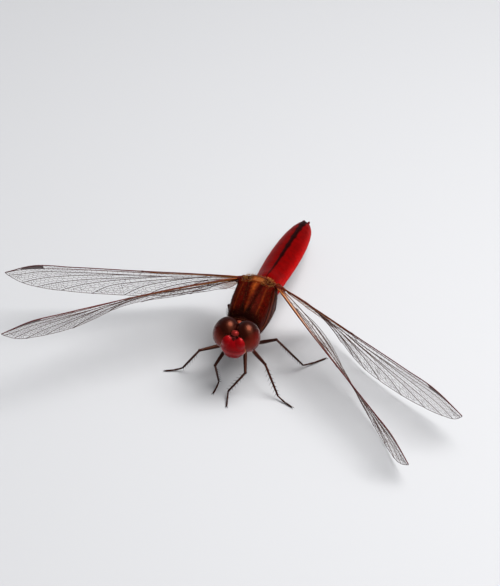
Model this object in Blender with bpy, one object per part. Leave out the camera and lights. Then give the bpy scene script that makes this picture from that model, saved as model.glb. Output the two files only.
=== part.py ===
"""A life-size scarlet skimmer dragonfly, standing still on its six feet.

Lengths are in millimetres and angles in degrees, until a mesh is made in metres.
Each sub-part is one closed solid. X points to the insect's left, Y to its tail
and Z up. The floor is at Z = 0, and the origin is on it, under the middle of
the box that holds the whole insect.
"""

import math

import bmesh
import bpy
from mathutils import Matrix, Vector

MM = 0.001
GAP = 0.1  # clear space between neighbouring solids
LEAST_THICKNESS = 0.5  # of wings, legs and feelers
SIDES = ((1, "left"), (-1, "right"))

# Stance of the body, whose own origin is the centre of the head.
HEAD_HEIGHT = 9.3
TAIL_DOWN = 9.0  # pitch of the body's axis
LEFT_SIDE_DOWN = 4.5  # roll of the body
HEAD_YAW = 4.5  # turned to the insect's left
HEAD_NOD = 2.0  # face turned down
HEAD_TILT = -0.5  # left eye down

NECK_SHIFT = 0.35  # of the head, to the left of the middle of the trunk

# Head
HEAD_WIDTH = 6.7
EYE_SIZE = (3.72, 4.1, 4.7)  # each eye's full ellipsoid, before they are cut apart
EYE_CENTRE = (-0.1, 0.42)  # behind and above the centre of the head
EYE_LEAN = 14.0  # the tops lean in
EYE_LEAN_SPREAD = 0.04  # what the lean takes off the width of the head
EYE_MESH = (11, 18)  # rows and columns of its facets
PLATE_MESH = (9, 16)
# Plates of the head, each cut clear of the eyes and of the plates above it in
# this list: full size of its ellipsoid, its centre and its finish.
HEAD_PLATES = {
    "frons": ((3.6, 2.6, 2.3), (0.0, -1.5, 0.1), "face_shell"),
    "clypeus": ((3.8, 2.6, 2.1), (0.0, -1.5, -1.1), "face_shell"),
    "labrum": ((3.4, 2.1, 1.7), (0.0, -1.2, -1.95), "face_shell"),
    "labium": ((3.3, 3.0, 1.5), (0.0, -0.2, -2.05), "face_shell"),
    "vertex": ((1.3, 1.3, 1.1), (0.0, -1.6, 1.3), "head_shell"),
    "occiput": ((4.9, 2.6, 4.0), (0.0, 0.95, -0.15), "head_shell"),
}
ANTENNA_ROOT = (0.6, -1.8, 1.15)  # hidden, in the corner of frons, vertex and eye
ANTENNA_TIP = (1.25, -3.6, 2.15)
ANTENNA_SIDES = 6

# Thorax: distance behind the head, half width, height over and under the axis,
# then how square the top and bottom are (2 is an ellipse).
PROTHORAX = (
    (2.4, 0.9, 0.8, 1.0, 2.0, 2.0),
    (2.6, 1.35, 1.3, 1.7, 2.0, 2.0),
    (3.1, 1.5, 1.35, 2.3, 2.0, 2.0),
    (3.5, 1.45, 1.2, 2.4, 2.0, 2.0),
)
THORAX = (
    (3.6, 1.8, 1.3, 2.5, 2.1, 2.2),
    (4.3, 2.35, 2.1, 3.1, 2.3, 2.2),
    (5.5, 2.7, 2.9, 3.45, 2.5, 2.3),
    (7.0, 2.95, 3.6, 3.5, 2.8, 2.3),
    (8.5, 3.05, 4.1, 3.35, 3.2, 2.3),
    (10.0, 3.05, 4.3, 3.1, 3.6, 2.2),
    (11.4, 2.95, 4.15, 2.75, 3.6, 2.2),
    (12.4, 2.6, 3.3, 2.4, 3.0, 2.2),
    (13.1, 2.0, 2.1, 2.0, 2.4, 2.2),
)
PROTHORAX_SIDES = 14
THORAX_SIDES = 20

# Abdomen: length of each segment, then its width and height halfway along it.
ABDOMEN_START = 13.2
SEGMENTS = (
    (1.2, 3.9, 3.6),
    (2.6, 4.3, 3.7),
    (3.6, 4.5, 3.1),
    (3.6, 4.75, 2.8),
    (3.5, 4.85, 2.7),
    (3.4, 4.7, 2.6),
    (3.0, 4.3, 2.45),
    (2.1, 3.65, 2.2),
    (1.5, 2.9, 1.9),
    (0.8, 2.1, 1.5),
)
FIRST_WAIST = 0.94  # size of the abdomen's front end, against the middle of its first segment
KEEL_SHARE = 0.62  # of the abdomen's height that is over its side edges
ABDOMEN_POWERS = (1.7, 2.4)  # how square its top and bottom are
ABDOMEN_SIDES = 16
ABDOMEN_BEND = -0.8  # the whole abdomen, towards the insect's left
# Claspers: start and end of each as (sideways, behind the last segment, up).
CERCUS = ((0.5, 0.1, 0.35), (0.42, 1.6, 0.23))
EPIPROCT = ((0.0, 0.1, -0.3), (0.0, 1.2, -0.3))
CERCUS_RADIUS = (0.3, 0.3, 0.25)
EPIPROCT_RADIUS = (0.28, 0.27, 0.25)
CLASPER_SIDES = 8

# Wings: outlines as (share of span, distance behind the straight front edge).
FORE_SPAN = 35.6
HIND_SPAN = 34.7
FORE_FRONT = ((0, 0), (0.25, 0.0), (0.5, 0.1), (0.75, 0.15), (0.9, 0.5), (1.0, 2.7))
FORE_REAR = ((0, 1.2), (0.08, 2.4), (0.2, 5.9), (0.35, 7.5), (0.52, 8.0), (0.68, 7.8),
             (0.82, 6.9), (0.93, 5.2), (1.0, 2.7))
HIND_FRONT = ((0, 0), (0.2, 0.0), (0.42, 0.15), (0.7, 0.1), (0.88, 0.4), (1.0, 2.9))
HIND_REAR = ((0, 3.0), (0.04, 7.2), (0.12, 9.7), (0.24, 10.4), (0.4, 9.9), (0.56, 9.1),
             (0.72, 8.2), (0.86, 6.9), (0.95, 5.1), (1.0, 2.9))
WING_CAMBER = 0.035  # rise of the middle of a wing, as a share of its chord
WING_COLUMNS = 18
WING_ROWS = 3
WING_CROWDING = 1.25  # how much closer together the columns stand towards the tip
WING_END = 0.997  # share of the span at which the sheet ends, where the tip is still a narrow edge
TWIST_PLACES = (0.1, 0.4, 0.65, 0.9)  # shares of the span at which the twist is given
BOW_SCALE = 6.75  # makes the bow's full height come at a third of the span
# name: side, hinge on the body, pair, sweep forward, droop, upward bow in
# millimetres, and the twist, front edge up, at each of the twist places.
WINGS = {
    "wing_fore_left": (1, (3.1, 9.7, 3.7), "fore", 43.8, 8.3, -0.5, (38.0, 57.0, 67.0, 76.0)),
    "wing_fore_right": (-1, (3.1, 9.7, 3.7), "fore", 42.0, -4.2, 0.4, (50.0, 43.0, 54.0, 59.0)),
    "wing_hind_left": (1, (3.1, 11.5, 3.1), "hind", 28.5, 3.4, 0.1, (50.0, 66.0, 70.0, 69.0)),
    "wing_hind_right": (-1, (3.1, 11.5, 3.1), "hind", 13.7, -1.7, 0.0, (48.0, 57.0, 61.0, 64.0)),
}

# Legs: hip on the body, lengths of femur, tibia and tarsus, and their radii.
HIPS = {
    "fore": (1.05, 2.9, -2.7),
    "mid": (1.3, 5.0, -4.1),
    "hind": (1.4, 6.9, -4.5),
}
FEMUR = {"fore": 4.6, "mid": 5.2, "hind": 5.4}
TIBIA = {"fore": 4.5, "mid": 5.0, "hind": 7.5}
COXA_RADIUS = (0.55, 0.6, 0.4)
FEMUR_RADIUS = (0.30, 0.38, 0.30)
TIBIA_RADIUS = (0.27, 0.26, 0.25)
TARSUS_RADIUS = (0.25, 0.26, 0.26, 0.25)
LEG_SIDES = 8
LIMB_MIDDLE = 0.35  # share of a limb at which its middle radius comes
FOOT_BENDS = (0.45, 0.75)  # shares of the tarsus at which it bends down to the floor
SHARPEST_BEND = math.radians(110)
ANKLE_HEIGHT = 0.6
HEEL_LIFT = 0.1
TOE_HEIGHT = 0.2  # of the middle of the toe, a little under its radius
COXA_RISE = (0.75, 0.35, 1.5)  # where a coxa starts: share of the hip's x, then further y and z
# name: side, pair, toe on the floor from under the head, ankle from the toe,
# and the turn of the knee about the line from hip to ankle.
LEGS = {
    "leg_fore_left": (1, "fore", (-0.1, -4.6), (-0.7, 2.7), -57.0),
    "leg_fore_right": (-1, "fore", (-2.8, -2.3), (0.2, 2.3), -10.0),
    "leg_mid_left": (1, "mid", (8.8, -2.1), (-2.4, 1.2), 11.0),
    "leg_mid_right": (-1, "mid", (-11.0, 0.6), (2.4, 0.8), -31.0),
    "leg_hind_left": (1, "hind", (10.4, 10.2), (-2.5, -3.2), 30.0),
    "leg_hind_right": (-1, "hind", (-6.5, 18.5), (1.0, -3.9), -8.0),
}

COLOURS = {
    "eye_shell": ((0.09, 0.012, 0.008), 0.25),
    "face_shell": ((0.42, 0.006, 0.012), 0.25),
    "head_shell": ((0.12, 0.012, 0.008), 0.4),
    "thorax_shell": ((0.13, 0.02, 0.008), 0.5),
    "abdomen_shell": ((0.55, 0.012, 0.005), 0.35),
    "leg_shell": ((0.05, 0.012, 0.008), 0.4),
    "wing_membrane": ((0.75, 0.66, 0.5), 0.2),
}


def clear_scene():
    for old in list(bpy.data.objects):
        bpy.data.objects.remove(old, do_unlink=True)


def make_material(name):
    colour, roughness = COLOURS[name]
    material = bpy.data.materials.get(name) or bpy.data.materials.new(name)
    material.use_nodes = True
    shader = material.node_tree.nodes["Principled BSDF"]
    shader.inputs["Base Color"].default_value = (*colour, 1.0)
    shader.inputs["Roughness"].default_value = roughness
    shader.inputs["Metallic"].default_value = 0.0
    return material


def empty(name, parent, location, turn):
    holder = bpy.data.objects.new(name, None)
    bpy.context.scene.collection.objects.link(holder)
    holder.parent = parent
    holder.matrix_basis = Matrix.Translation(Vector(location) * MM) @ turn.to_4x4()
    return holder


def add_object(name, shape, parent, origin, finish):
    """Turns a bmesh in millimetres into an object whose origin is at origin."""
    bmesh.ops.recalc_face_normals(shape, faces=shape.faces)
    for vertex in shape.verts:
        vertex.co = (vertex.co - Vector(origin)) * MM
    mesh = bpy.data.meshes.new(name)
    shape.to_mesh(mesh)
    shape.free()
    mesh.shade_smooth()
    mesh.materials.append(make_material(finish))
    made = bpy.data.objects.new(name, mesh)
    bpy.context.scene.collection.objects.link(made)
    made.parent = parent
    made.location = Vector(origin) * MM
    return made


def add_cutter(name, shape, parent):
    cutter = add_object(name, shape, parent, (0, 0, 0), "head_shell")
    cutter.hide_render = True
    cutter.display_type = "WIRE"
    return cutter


def cut_away(target, cutters, solver="EXACT"):
    for cutter in cutters:
        cut = target.modifiers.new(f"clear of {cutter.name}", "BOOLEAN")
        cut.operation = "DIFFERENCE"
        cut.solver = solver
        cut.object = cutter


def ring(half_width, over, under, top_power, bottom_power, count):
    """Points (x, z) of a rounded outline, from the top, clockwise seen from the tail."""
    points = []
    for step in range(count):
        angle = 2 * math.pi * step / count
        across, upward = math.sin(angle), math.cos(angle)
        power, height = (top_power, over) if upward >= 0 else (bottom_power, under)
        x = half_width * math.copysign(abs(across) ** (2 / power), across)
        z = height * math.copysign(abs(upward) ** (2 / power), upward)
        points.append((x, z))
    return points


def loft(rings):
    """A closed bmesh through rings of equal count, with flat ends."""
    shape = bmesh.new()
    rows = [[shape.verts.new(point) for point in row] for row in rings]
    count = len(rows[0])
    for near, far in zip(rows, rows[1:]):
        for step in range(count):
            after = (step + 1) % count
            shape.faces.new((near[step], near[after], far[after], far[step]))
    shape.faces.new(rows[0])
    shape.faces.new(list(reversed(rows[-1])))
    return shape


def stations(table, count, grow=0.0):
    rings = []
    for index, (y, half_width, over, under, top_power, bottom_power) in enumerate(table):
        ends = {0: -grow, len(table) - 1: grow}
        outline = ring(half_width + grow, over + grow, under + grow, top_power, bottom_power, count)
        rings.append([(x, y + ends.get(index, 0.0), z) for x, z in outline])
    return rings


def ellipsoid(size, centre, lean=None, facets=PLATE_MESH, grow=0.0):
    rows, columns = facets
    shape = bmesh.new()
    bmesh.ops.create_uvsphere(shape, u_segments=columns, v_segments=rows, radius=1.0)
    stretch = Matrix.Diagonal([side / 2 + grow for side in size]).to_4x4()
    turn = lean or Matrix.Identity(4)
    place = Matrix.Translation(centre) @ turn @ stretch
    bmesh.ops.transform(shape, matrix=place, verts=shape.verts)
    return shape


def tube(path, radii, sides):
    """Rings square to a path of points, each turned so that its first corner is up."""
    rings = []
    for index, point in enumerate(path):
        ahead = Vector(path[min(index + 1, len(path) - 1)])
        behind = Vector(path[max(index - 1, 0)])
        along = (ahead - behind).normalized()
        across = along.cross((0, 0, 1)).normalized()
        upward = across.cross(along)
        turn = [2 * math.pi * (step + 0.5) / sides for step in range(sides)]
        rings.append([
            Vector(point) + radii[index] * (math.cos(angle) * upward + math.sin(angle) * across)
            for angle in turn
        ])
    return loft(rings)


def spread_along(points, share):
    """Smooth value at a share of the way, through (share, value) points."""
    share = min(max(share, points[0][0]), points[-1][0])
    for index in range(len(points) - 1):
        if share <= points[index + 1][0] or index == len(points) - 2:
            break
    before = points[max(index - 1, 0)]
    start, end = points[index], points[index + 1]
    after = points[min(index + 2, len(points) - 1)]
    width = end[0] - start[0]
    slope_in = (end[1] - before[1]) / (end[0] - before[0])
    slope_out = (after[1] - start[1]) / (after[0] - start[0])
    u = (share - start[0]) / width
    return (
        (2 * u**3 - 3 * u**2 + 1) * start[1]
        + (u**3 - 2 * u**2 + u) * width * slope_in
        + (3 * u**2 - 2 * u**3) * end[1]
        + (u**3 - u**2) * width * slope_out
    )


def eye_ellipsoid(side, grow=0.0):
    lean = Matrix.Rotation(math.radians(-EYE_LEAN * side), 4, "Y")
    centre_x = side * (HEAD_WIDTH / 2 - EYE_SIZE[0] / 2 + EYE_LEAN_SPREAD)
    return ellipsoid(EYE_SIZE, (centre_x, *EYE_CENTRE), lean, EYE_MESH, grow)


def eye_shape(side):
    """An eye cut flat where it meets its fellow over the middle of the head."""
    shape = eye_ellipsoid(side)
    cut = bmesh.ops.bisect_plane(
        shape,
        geom=shape.verts[:] + shape.edges[:] + shape.faces[:],
        plane_co=(side * GAP / 2, 0, 0),
        plane_no=(side, 0, 0),
        clear_inner=True,
    )
    rim = [item for item in cut["geom_cut"] if isinstance(item, bmesh.types.BMEdge)]
    bmesh.ops.contextual_create(shape, geom=rim)
    return shape


def make_head(head):
    cutters = []
    for side, label in SIDES:
        add_object(f"eye_{label}", eye_shape(side), head, (0, 0, 0), "eye_shell")
        cutters.append(add_cutter(f"cutter_eye_{label}", eye_ellipsoid(side, GAP), head))
    for name, (size, centre, finish) in HEAD_PLATES.items():
        plate = add_object(name, ellipsoid(size, centre), head, (0, 0, 0), finish)
        # The exact solver leaves open edges where the mirrored eyes meet.
        cut_away(plate, cutters, "MANIFOLD")
        cutters.append(add_cutter(f"cutter_{name}", ellipsoid(size, centre, grow=GAP), head))
    make_antennae(head, cutters)


def make_antennae(head, cutters):
    for side, label in SIDES:
        root, tip = [Vector((side * x, y, z)) for x, y, z in (ANTENNA_ROOT, ANTENNA_TIP)]
        path = [root, root.lerp(tip, 0.5), tip]
        radii = [LEAST_THICKNESS / 2] * len(path)
        antenna = add_object(f"antenna_{label}", tube(path, radii, ANTENNA_SIDES), head, root, "head_shell")
        cut_away(antenna, cutters, "MANIFOLD")


def make_thorax(body):
    cutters = []
    for name, table, sides in (
        ("prothorax", PROTHORAX, PROTHORAX_SIDES),
        ("thorax", THORAX, THORAX_SIDES),
    ):
        add_object(name, loft(stations(table, sides)), body, (0, 0, 0), "thorax_shell")
        cutters.append(add_cutter(f"cutter_{name}", loft(stations(table, sides, GAP)), body))
    return cutters


def abdomen_size(distance):
    """Width and height of the abdomen at a distance behind its start."""
    middles, walked = [], 0.0
    for length, width, height in SEGMENTS:
        middles.append((walked + length / 2, width, height))
        walked += length
    _, first_width, first_height = middles[0]
    widths = [(0.0, first_width * FIRST_WAIST)] + [(place, width) for place, width, _ in middles]
    heights = [(0.0, first_height * FIRST_WAIST)] + [(place, height) for place, _, height in middles]
    return spread_along(widths, distance), spread_along(heights, distance)


def make_abdomen(abdomen):
    start = 0.0
    for number, (length, _, _) in enumerate(SEGMENTS, start=1):
        rings = []
        for share in (0.0, 0.5, 1.0):
            place = start + GAP / 2 + share * (length - GAP)
            width, height = abdomen_size(place)
            over, under = height * KEEL_SHARE, height * (1 - KEEL_SHARE)
            outline = ring(width / 2, over, under, *ABDOMEN_POWERS, ABDOMEN_SIDES)
            rings.append([(x, place, z) for x, z in outline])
        add_object(f"abdomen_{number}", loft(rings), abdomen, (0, start, 0), "abdomen_shell")
        start += length
    make_claspers(abdomen, start)


def make_claspers(abdomen, start):
    for side, label in SIDES:
        make_clasper(abdomen, f"cercus_{label}", side, start, CERCUS, CERCUS_RADIUS)
    make_clasper(abdomen, "epiproct", 1, start, EPIPROCT, EPIPROCT_RADIUS)


def make_clasper(abdomen, name, side, start, ends, radii):
    root, tip = [Vector((side * x, start + y, z)) for x, y, z in ends]
    path = [root, root.lerp(tip, 0.5), tip]
    add_object(name, tube(path, radii, CLASPER_SIDES), abdomen, root, "abdomen_shell")


def wing_axes(side, sweep, droop):
    sweep, droop = math.radians(sweep), math.radians(droop)
    span = Vector((
        side * math.cos(droop) * math.cos(sweep),
        -math.cos(droop) * math.sin(sweep),
        -math.sin(droop),
    ))
    rearward = Vector((side * math.sin(sweep), math.cos(sweep), 0))
    upward = span.cross(rearward) * side
    return span, rearward, upward


def wing_sheet(side, hinge, pair, sweep, droop, bow, twists):
    span, rearward, upward = wing_axes(side, sweep, droop)
    reach, front, rear = {
        "fore": (FORE_SPAN, FORE_FRONT, FORE_REAR),
        "hind": (HIND_SPAN, HIND_FRONT, HIND_REAR),
    }[pair]
    twist_table = tuple(zip(TWIST_PLACES, twists))
    shape = bmesh.new()
    grid = []
    for column in range(WING_COLUMNS + 1):
        share = math.sin(column / WING_COLUMNS * math.pi / 2) ** WING_CROWDING * WING_END
        twist = math.radians(spread_along(twist_table, share))
        chord = math.cos(twist) * rearward - math.sin(twist) * upward
        normal = math.cos(twist) * upward + math.sin(twist) * rearward
        ahead, behind = spread_along(front, share), spread_along(rear, share)
        bowed = Vector((0, 0, bow * BOW_SCALE * share * (1 - share) ** 2))
        points = []
        for row in range(WING_ROWS + 1):
            across = row / WING_ROWS
            back = ahead + (behind - ahead) * across
            arch = WING_CAMBER * 4 * across * (1 - across) * (behind - ahead)
            place = hinge + span * reach * share + bowed + chord * back + normal * arch
            points.append(shape.verts.new(place))
        grid.append(points)
    for near, far in zip(grid, grid[1:]):
        for row in range(WING_ROWS):
            shape.faces.new((near[row], near[row + 1], far[row + 1], far[row]))
    return shape


def make_wings(root, body, thorax_cutters):
    for name, (side, hinge, pair, sweep, droop, bow, twists) in WINGS.items():
        place = on_floor(body, (side * hinge[0], hinge[1], hinge[2]))
        shape = wing_sheet(side, place, pair, sweep, droop, bow, twists)
        wing = add_object(name, shape, root, place, "wing_membrane")
        thick = wing.modifiers.new("thickness", "SOLIDIFY")
        thick.thickness = LEAST_THICKNESS * MM
        thick.offset = 0.0
        thick.use_even_offset = True
        cut_away(wing, thorax_cutters)


def on_floor(body, point):
    """A point of the body as seen from the floor under the head, in millimetres."""
    return (body.matrix_basis @ (Vector(point) * MM)) / MM


def knee_between(hip, ankle, femur, tibia, turn):
    """The knee that both lengths reach, turned about the line from hip to ankle."""
    along = ankle - hip
    distance = along.length
    along.normalize()
    walked = (femur**2 - tibia**2 + distance**2) / (2 * distance)
    lift = math.sqrt(max(femur**2 - walked**2, 0.0))
    upward = (Vector((0, 0, 1)) - along * along.z).normalized()
    upward.rotate(Matrix.Rotation(math.radians(turn), 3, along))
    return hip + along * walked + upward * lift


def clearance(before, corner, after, radius):
    """How far two round limbs stop short of the corner they meet at."""
    bend = (corner - before).angle(after - corner)
    return GAP / 2 + radius * math.tan(min(bend, SHARPEST_BEND) / 2)


def make_legs(root, body, thorax_cutters):
    for name, (side, pair, toe, ankle_from_toe, turn) in LEGS.items():
        hip_x, hip_y, hip_z = HIPS[pair]
        hip = on_floor(body, (side * hip_x, hip_y, hip_z))
        inward, rearward, upward = COXA_RISE
        socket = on_floor(body, (side * hip_x * inward, hip_y + rearward, hip_z + upward))
        toe = Vector((*toe, TOE_HEIGHT))
        ankle = toe + Vector((*ankle_from_toe, 0))
        ankle.z = ANKLE_HEIGHT
        knee = knee_between(hip, ankle, FEMUR[pair], TIBIA[pair], turn)
        at_hip = clearance(socket, hip, knee, COXA_RADIUS[-1])
        at_knee = clearance(hip, knee, ankle, FEMUR_RADIUS[-1])
        at_ankle = clearance(knee, ankle, toe, TIBIA_RADIUS[-1])
        pieces = {
            "coxa": (socket, limb(socket, hip, 0, at_hip, COXA_RADIUS)),
            "femur": (hip, limb(hip, knee, at_hip, at_knee, FEMUR_RADIUS)),
            "tibia": (knee, limb(knee, ankle, at_knee, at_ankle, TIBIA_RADIUS)),
            "tarsus": (ankle, foot(ankle, toe, at_ankle)),
        }
        for label, (origin, shape) in pieces.items():
            piece = add_object(f"{name}_{label}", shape, root, origin, "leg_shell")
            if label == "coxa":
                cut_away(piece, thorax_cutters)


def limb(start, end, start_gap, end_gap, radii):
    way = (end - start).normalized()
    start, end = start + way * start_gap, end - way * end_gap
    return tube([start, start.lerp(end, LIMB_MIDDLE), end], radii, LEG_SIDES)


def foot(ankle, toe, ankle_gap):
    """The tarsus, cut flat underneath where it would sink into the floor."""
    start = ankle + (toe - ankle).normalized() * ankle_gap
    path = [start, *(start.lerp(toe, share) for share in FOOT_BENDS), toe]
    path[1].z = toe.z + HEEL_LIFT
    path[2].z = toe.z
    shape = tube(path, TARSUS_RADIUS, LEG_SIDES)
    for vertex in shape.verts:
        vertex.co.z = max(vertex.co.z, 0.0)
    return shape


def body_turn():
    pitch = Matrix.Rotation(math.radians(-TAIL_DOWN), 3, "X")
    roll = Matrix.Rotation(math.radians(LEFT_SIDE_DOWN), 3, "Y")
    return pitch @ roll


def head_turn():
    yaw = Matrix.Rotation(math.radians(HEAD_YAW), 3, "Z")
    nod = Matrix.Rotation(math.radians(HEAD_NOD), 3, "X")
    tilt = Matrix.Rotation(math.radians(HEAD_TILT), 3, "Y")
    return yaw @ nod @ tilt


def centre_on_floor(root):
    """Moves the whole insect so that the origin is under the middle of its box."""
    bpy.context.view_layer.update()
    graph = bpy.context.evaluated_depsgraph_get()
    corners = []
    for piece in bpy.context.scene.objects:
        if piece.type == "MESH" and not piece.hide_render:
            seen = piece.evaluated_get(graph)
            corners += [seen.matrix_world @ Vector(corner) for corner in seen.bound_box]
    for axis in (0, 1):
        values = [corner[axis] for corner in corners]
        root.location[axis] = -(min(values) + max(values)) / 2


def main():
    clear_scene()
    identity = Matrix.Identity(3)
    root = empty("insect", None, (0, 0, 0), identity)
    body = empty("body", root, (-NECK_SHIFT, 0, HEAD_HEIGHT), body_turn())
    head = empty("head", body, (NECK_SHIFT, 0, 0), head_turn())
    bend = Matrix.Rotation(math.radians(-ABDOMEN_BEND), 3, "Z")
    abdomen = empty("abdomen", body, (0, ABDOMEN_START, 0), bend)
    make_head(head)
    thorax_cutters = make_thorax(body)
    make_abdomen(abdomen)
    make_wings(root, body, thorax_cutters)
    make_legs(root, body, thorax_cutters)
    centre_on_floor(root)


main()
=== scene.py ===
import math
import bpy
import bmesh
import numpy as np
from mathutils import Matrix, Vector


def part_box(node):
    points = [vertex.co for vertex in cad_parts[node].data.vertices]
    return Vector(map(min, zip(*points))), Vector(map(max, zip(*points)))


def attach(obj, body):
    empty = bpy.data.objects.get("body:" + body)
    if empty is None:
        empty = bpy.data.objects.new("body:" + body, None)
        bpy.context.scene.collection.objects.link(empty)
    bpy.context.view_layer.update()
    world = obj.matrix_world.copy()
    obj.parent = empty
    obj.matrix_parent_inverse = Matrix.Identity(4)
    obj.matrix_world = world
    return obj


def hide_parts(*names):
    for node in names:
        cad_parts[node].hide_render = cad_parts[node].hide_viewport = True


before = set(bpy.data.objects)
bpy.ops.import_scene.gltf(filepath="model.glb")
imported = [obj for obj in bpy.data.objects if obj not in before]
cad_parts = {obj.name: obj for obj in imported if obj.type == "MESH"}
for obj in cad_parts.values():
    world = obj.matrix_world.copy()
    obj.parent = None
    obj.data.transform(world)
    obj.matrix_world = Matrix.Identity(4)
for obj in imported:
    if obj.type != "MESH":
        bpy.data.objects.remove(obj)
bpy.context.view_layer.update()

# Shapes below are in millimetres: X to the insect's left, Y to its tail, Z up.
mm = 0.001
far = 99.0  # beyond anything on the insect
bothSides = (("Left", 1), ("Right", -1))
dice = np.random.default_rng(7)


# Small tools: curves, shares and colours.

def curveThrough(points, places):
    # values on a smooth curve through rows of (place, value, value...)
    table = np.array(points, float)
    knots, values = table[:, 0], table[:, 1:]
    slopes = np.gradient(values, knots, axis=0)
    places = np.clip(np.asarray(places, float), knots[0], knots[-1])
    at = np.clip(np.searchsorted(knots, places, side="right") - 1, 0, len(knots) - 2)
    width = (knots[at + 1] - knots[at])[..., None]
    u = ((places - knots[at])[..., None]) / width
    smooth = (2 * u**3 - 3 * u**2 + 1) * values[at] + (u**3 - 2 * u**2 + u) * width * slopes[at]
    smooth += (3 * u**2 - 2 * u**3) * values[at + 1] + (u**3 - u**2) * width * slopes[at + 1]
    return smooth


def evenCurve(points, share):
    # the same through points spaced evenly from 0 to 1
    points = np.asarray(points, float).reshape(len(points), -1)
    return curveThrough(np.column_stack([np.linspace(0, 1, len(points)), points]), share)


def unit(vectors):
    return vectors / np.maximum(np.linalg.norm(vectors, axis=-1, keepdims=True), 1e-12)


def moved(points, matrix):
    matrix = np.array(matrix)
    return points @ matrix[:3, :3].T + matrix[:3, 3]


def bump(distance, width):
    return np.exp(-((distance / width) ** 2))


def ramp(values, start, end):
    # 0 at the start and 1 at the end
    return np.clip((values - start) / (end - start), 0, 1)


def taper(pair, share):
    return pair[0] + (pair[1] - pair[0]) * np.asarray(share)


def blend(a, b, share):
    share = np.clip(share, 0, 1)[..., None]
    return np.array(a) * (1 - share) + np.array(b) * share


def paint(first, *layers):
    # named colours laid over the first one, each with its share
    tint = colours[first]
    for name, share in layers:
        tint = blend(tint, colours[name], share)
    return tint


# Meshes.

def newObject(name, data):
    thing = bpy.data.objects.new(name, data)
    bpy.context.scene.collection.objects.link(thing)
    return thing


def gridFaces(rows, columns, wrap, start=0):
    places = np.arange(columns if wrap else columns - 1)
    row, column = np.meshgrid(np.arange(rows - 1), places, indexing="ij")
    after = (column + 1) % columns
    quads = np.stack([row * columns + column, row * columns + after,
                      (row + 1) * columns + after, (row + 1) * columns + column], -1)
    return [tuple(quad) for quad in (quads.reshape(-1, 4) + start).tolist()]


class Parts:
    # gathers points, faces, colours and finishes that become one mesh
    def __init__(self):
        self.points, self.faces, self.tints, self.finish, self.maps = [], [], [], [], []
        self.count = 0

    def add(self, points, faces, tint=(1, 1, 1), finish=0, maps=None):
        points = np.asarray(points, float).reshape(-1, 3)
        self.points.append(points)
        self.tints.append(np.broadcast_to(np.asarray(tint, float), points.shape))
        self.faces += [tuple(corner + self.count for corner in face) for face in faces]
        self.finish += [finish] * len(faces)
        self.maps.append(np.zeros((len(points), 2)) if maps is None else maps)
        self.count += len(points)

    def make(self, name, materials, hasMap=False):
        mesh = bpy.data.meshes.new(name)
        mesh.from_pydata((np.concatenate(self.points) * mm).tolist(), [], self.faces)
        mesh.polygons.foreach_set("material_index", self.finish)
        tints = np.concatenate(self.tints)
        layer = mesh.attributes.new("tint", "FLOAT_COLOR", "POINT")
        layer.data.foreach_set("color", np.hstack([tints, np.ones((len(tints), 1))]).ravel())
        if hasMap:
            loops = np.zeros(len(mesh.loops), int)
            mesh.loops.foreach_get("vertex_index", loops)
            places = np.concatenate(self.maps)[loops]
            mesh.uv_layers.new(name="OFBake").data.foreach_set("uv", places.ravel())
        mesh.validate()
        mesh.shade_smooth()
        tidy = bmesh.new()
        tidy.from_mesh(mesh)
        bmesh.ops.recalc_face_normals(tidy, faces=tidy.faces)
        tidy.to_mesh(mesh)
        tidy.free()
        for material in materials:
            mesh.materials.append(material)
        piece = newObject(name, mesh)
        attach(piece, "root")
        return piece


def pieceName(node):
    words = node.split("_")
    return words[0] + "".join(word.title() for word in words[1:])


def tubeAlong(path, radii, sides=8, upward=(0, 0, 1)):
    # closed round tube, domed at each end by one smaller ring
    path, radii = np.asarray(path, float), np.asarray(radii, float)
    along = unit(np.gradient(path, axis=0))
    across = unit(np.cross(along, np.asarray(upward, float)))
    lift = np.cross(across, along)
    turn = (2 * np.pi * np.arange(sides) / sides)[None, :, None]
    ring = np.cos(turn) * lift[:, None] + np.sin(turn) * across[:, None]
    rows = path[:, None] + ring * radii[:, None, None]
    first, last = [(path[k] + (ring[k] * 0.6 + way * along[k] * 0.5) * radii[k])[None]
                   for k, way in ((0, -1), (-1, 1))]
    rows = np.concatenate([first, rows, last])
    count = len(rows) * sides
    faces = gridFaces(len(rows), sides, True)
    faces += [tuple(range(sides)), tuple(reversed(range(count - sides, count)))]
    return rows.reshape(-1, 3), faces


def slab(top, bottom):
    # closed sheet between two grids of points
    rows, columns = top.shape[:2]
    points = np.concatenate([top.reshape(-1, 3), bottom.reshape(-1, 3)])
    under = rows * columns
    faces = gridFaces(rows, columns, False)
    faces += [tuple(reversed(face)) for face in gridFaces(rows, columns, False, under)]
    rim = [row * columns for row in range(rows)]
    rim += [(rows - 1) * columns + k for k in range(1, columns)]
    rim += [row * columns + columns - 1 for row in range(rows - 2, -1, -1)]
    rim += list(range(columns - 2, 0, -1))
    faces += [(a, b, b + under, a + under) for a, b in zip(rim, rim[1:] + rim[:1])]
    return points, faces


def ellipsoid(size, centre, turn=None, rows=32, columns=48):
    shape = bmesh.new()
    bmesh.ops.create_uvsphere(shape, u_segments=columns, v_segments=rows, radius=0.5)
    place = Matrix.Translation(centre) @ (turn or Matrix.Identity(4)) @ Matrix.Diagonal((*size, 1))
    bmesh.ops.transform(shape, matrix=place, verts=shape.verts)
    return shape


def shapeArrays(shape):
    points = np.array([vertex.co[:] for vertex in shape.verts])
    faces = [tuple(vertex.index for vertex in face.verts) for face in shape.faces]
    shape.free()
    return points, faces


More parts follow.
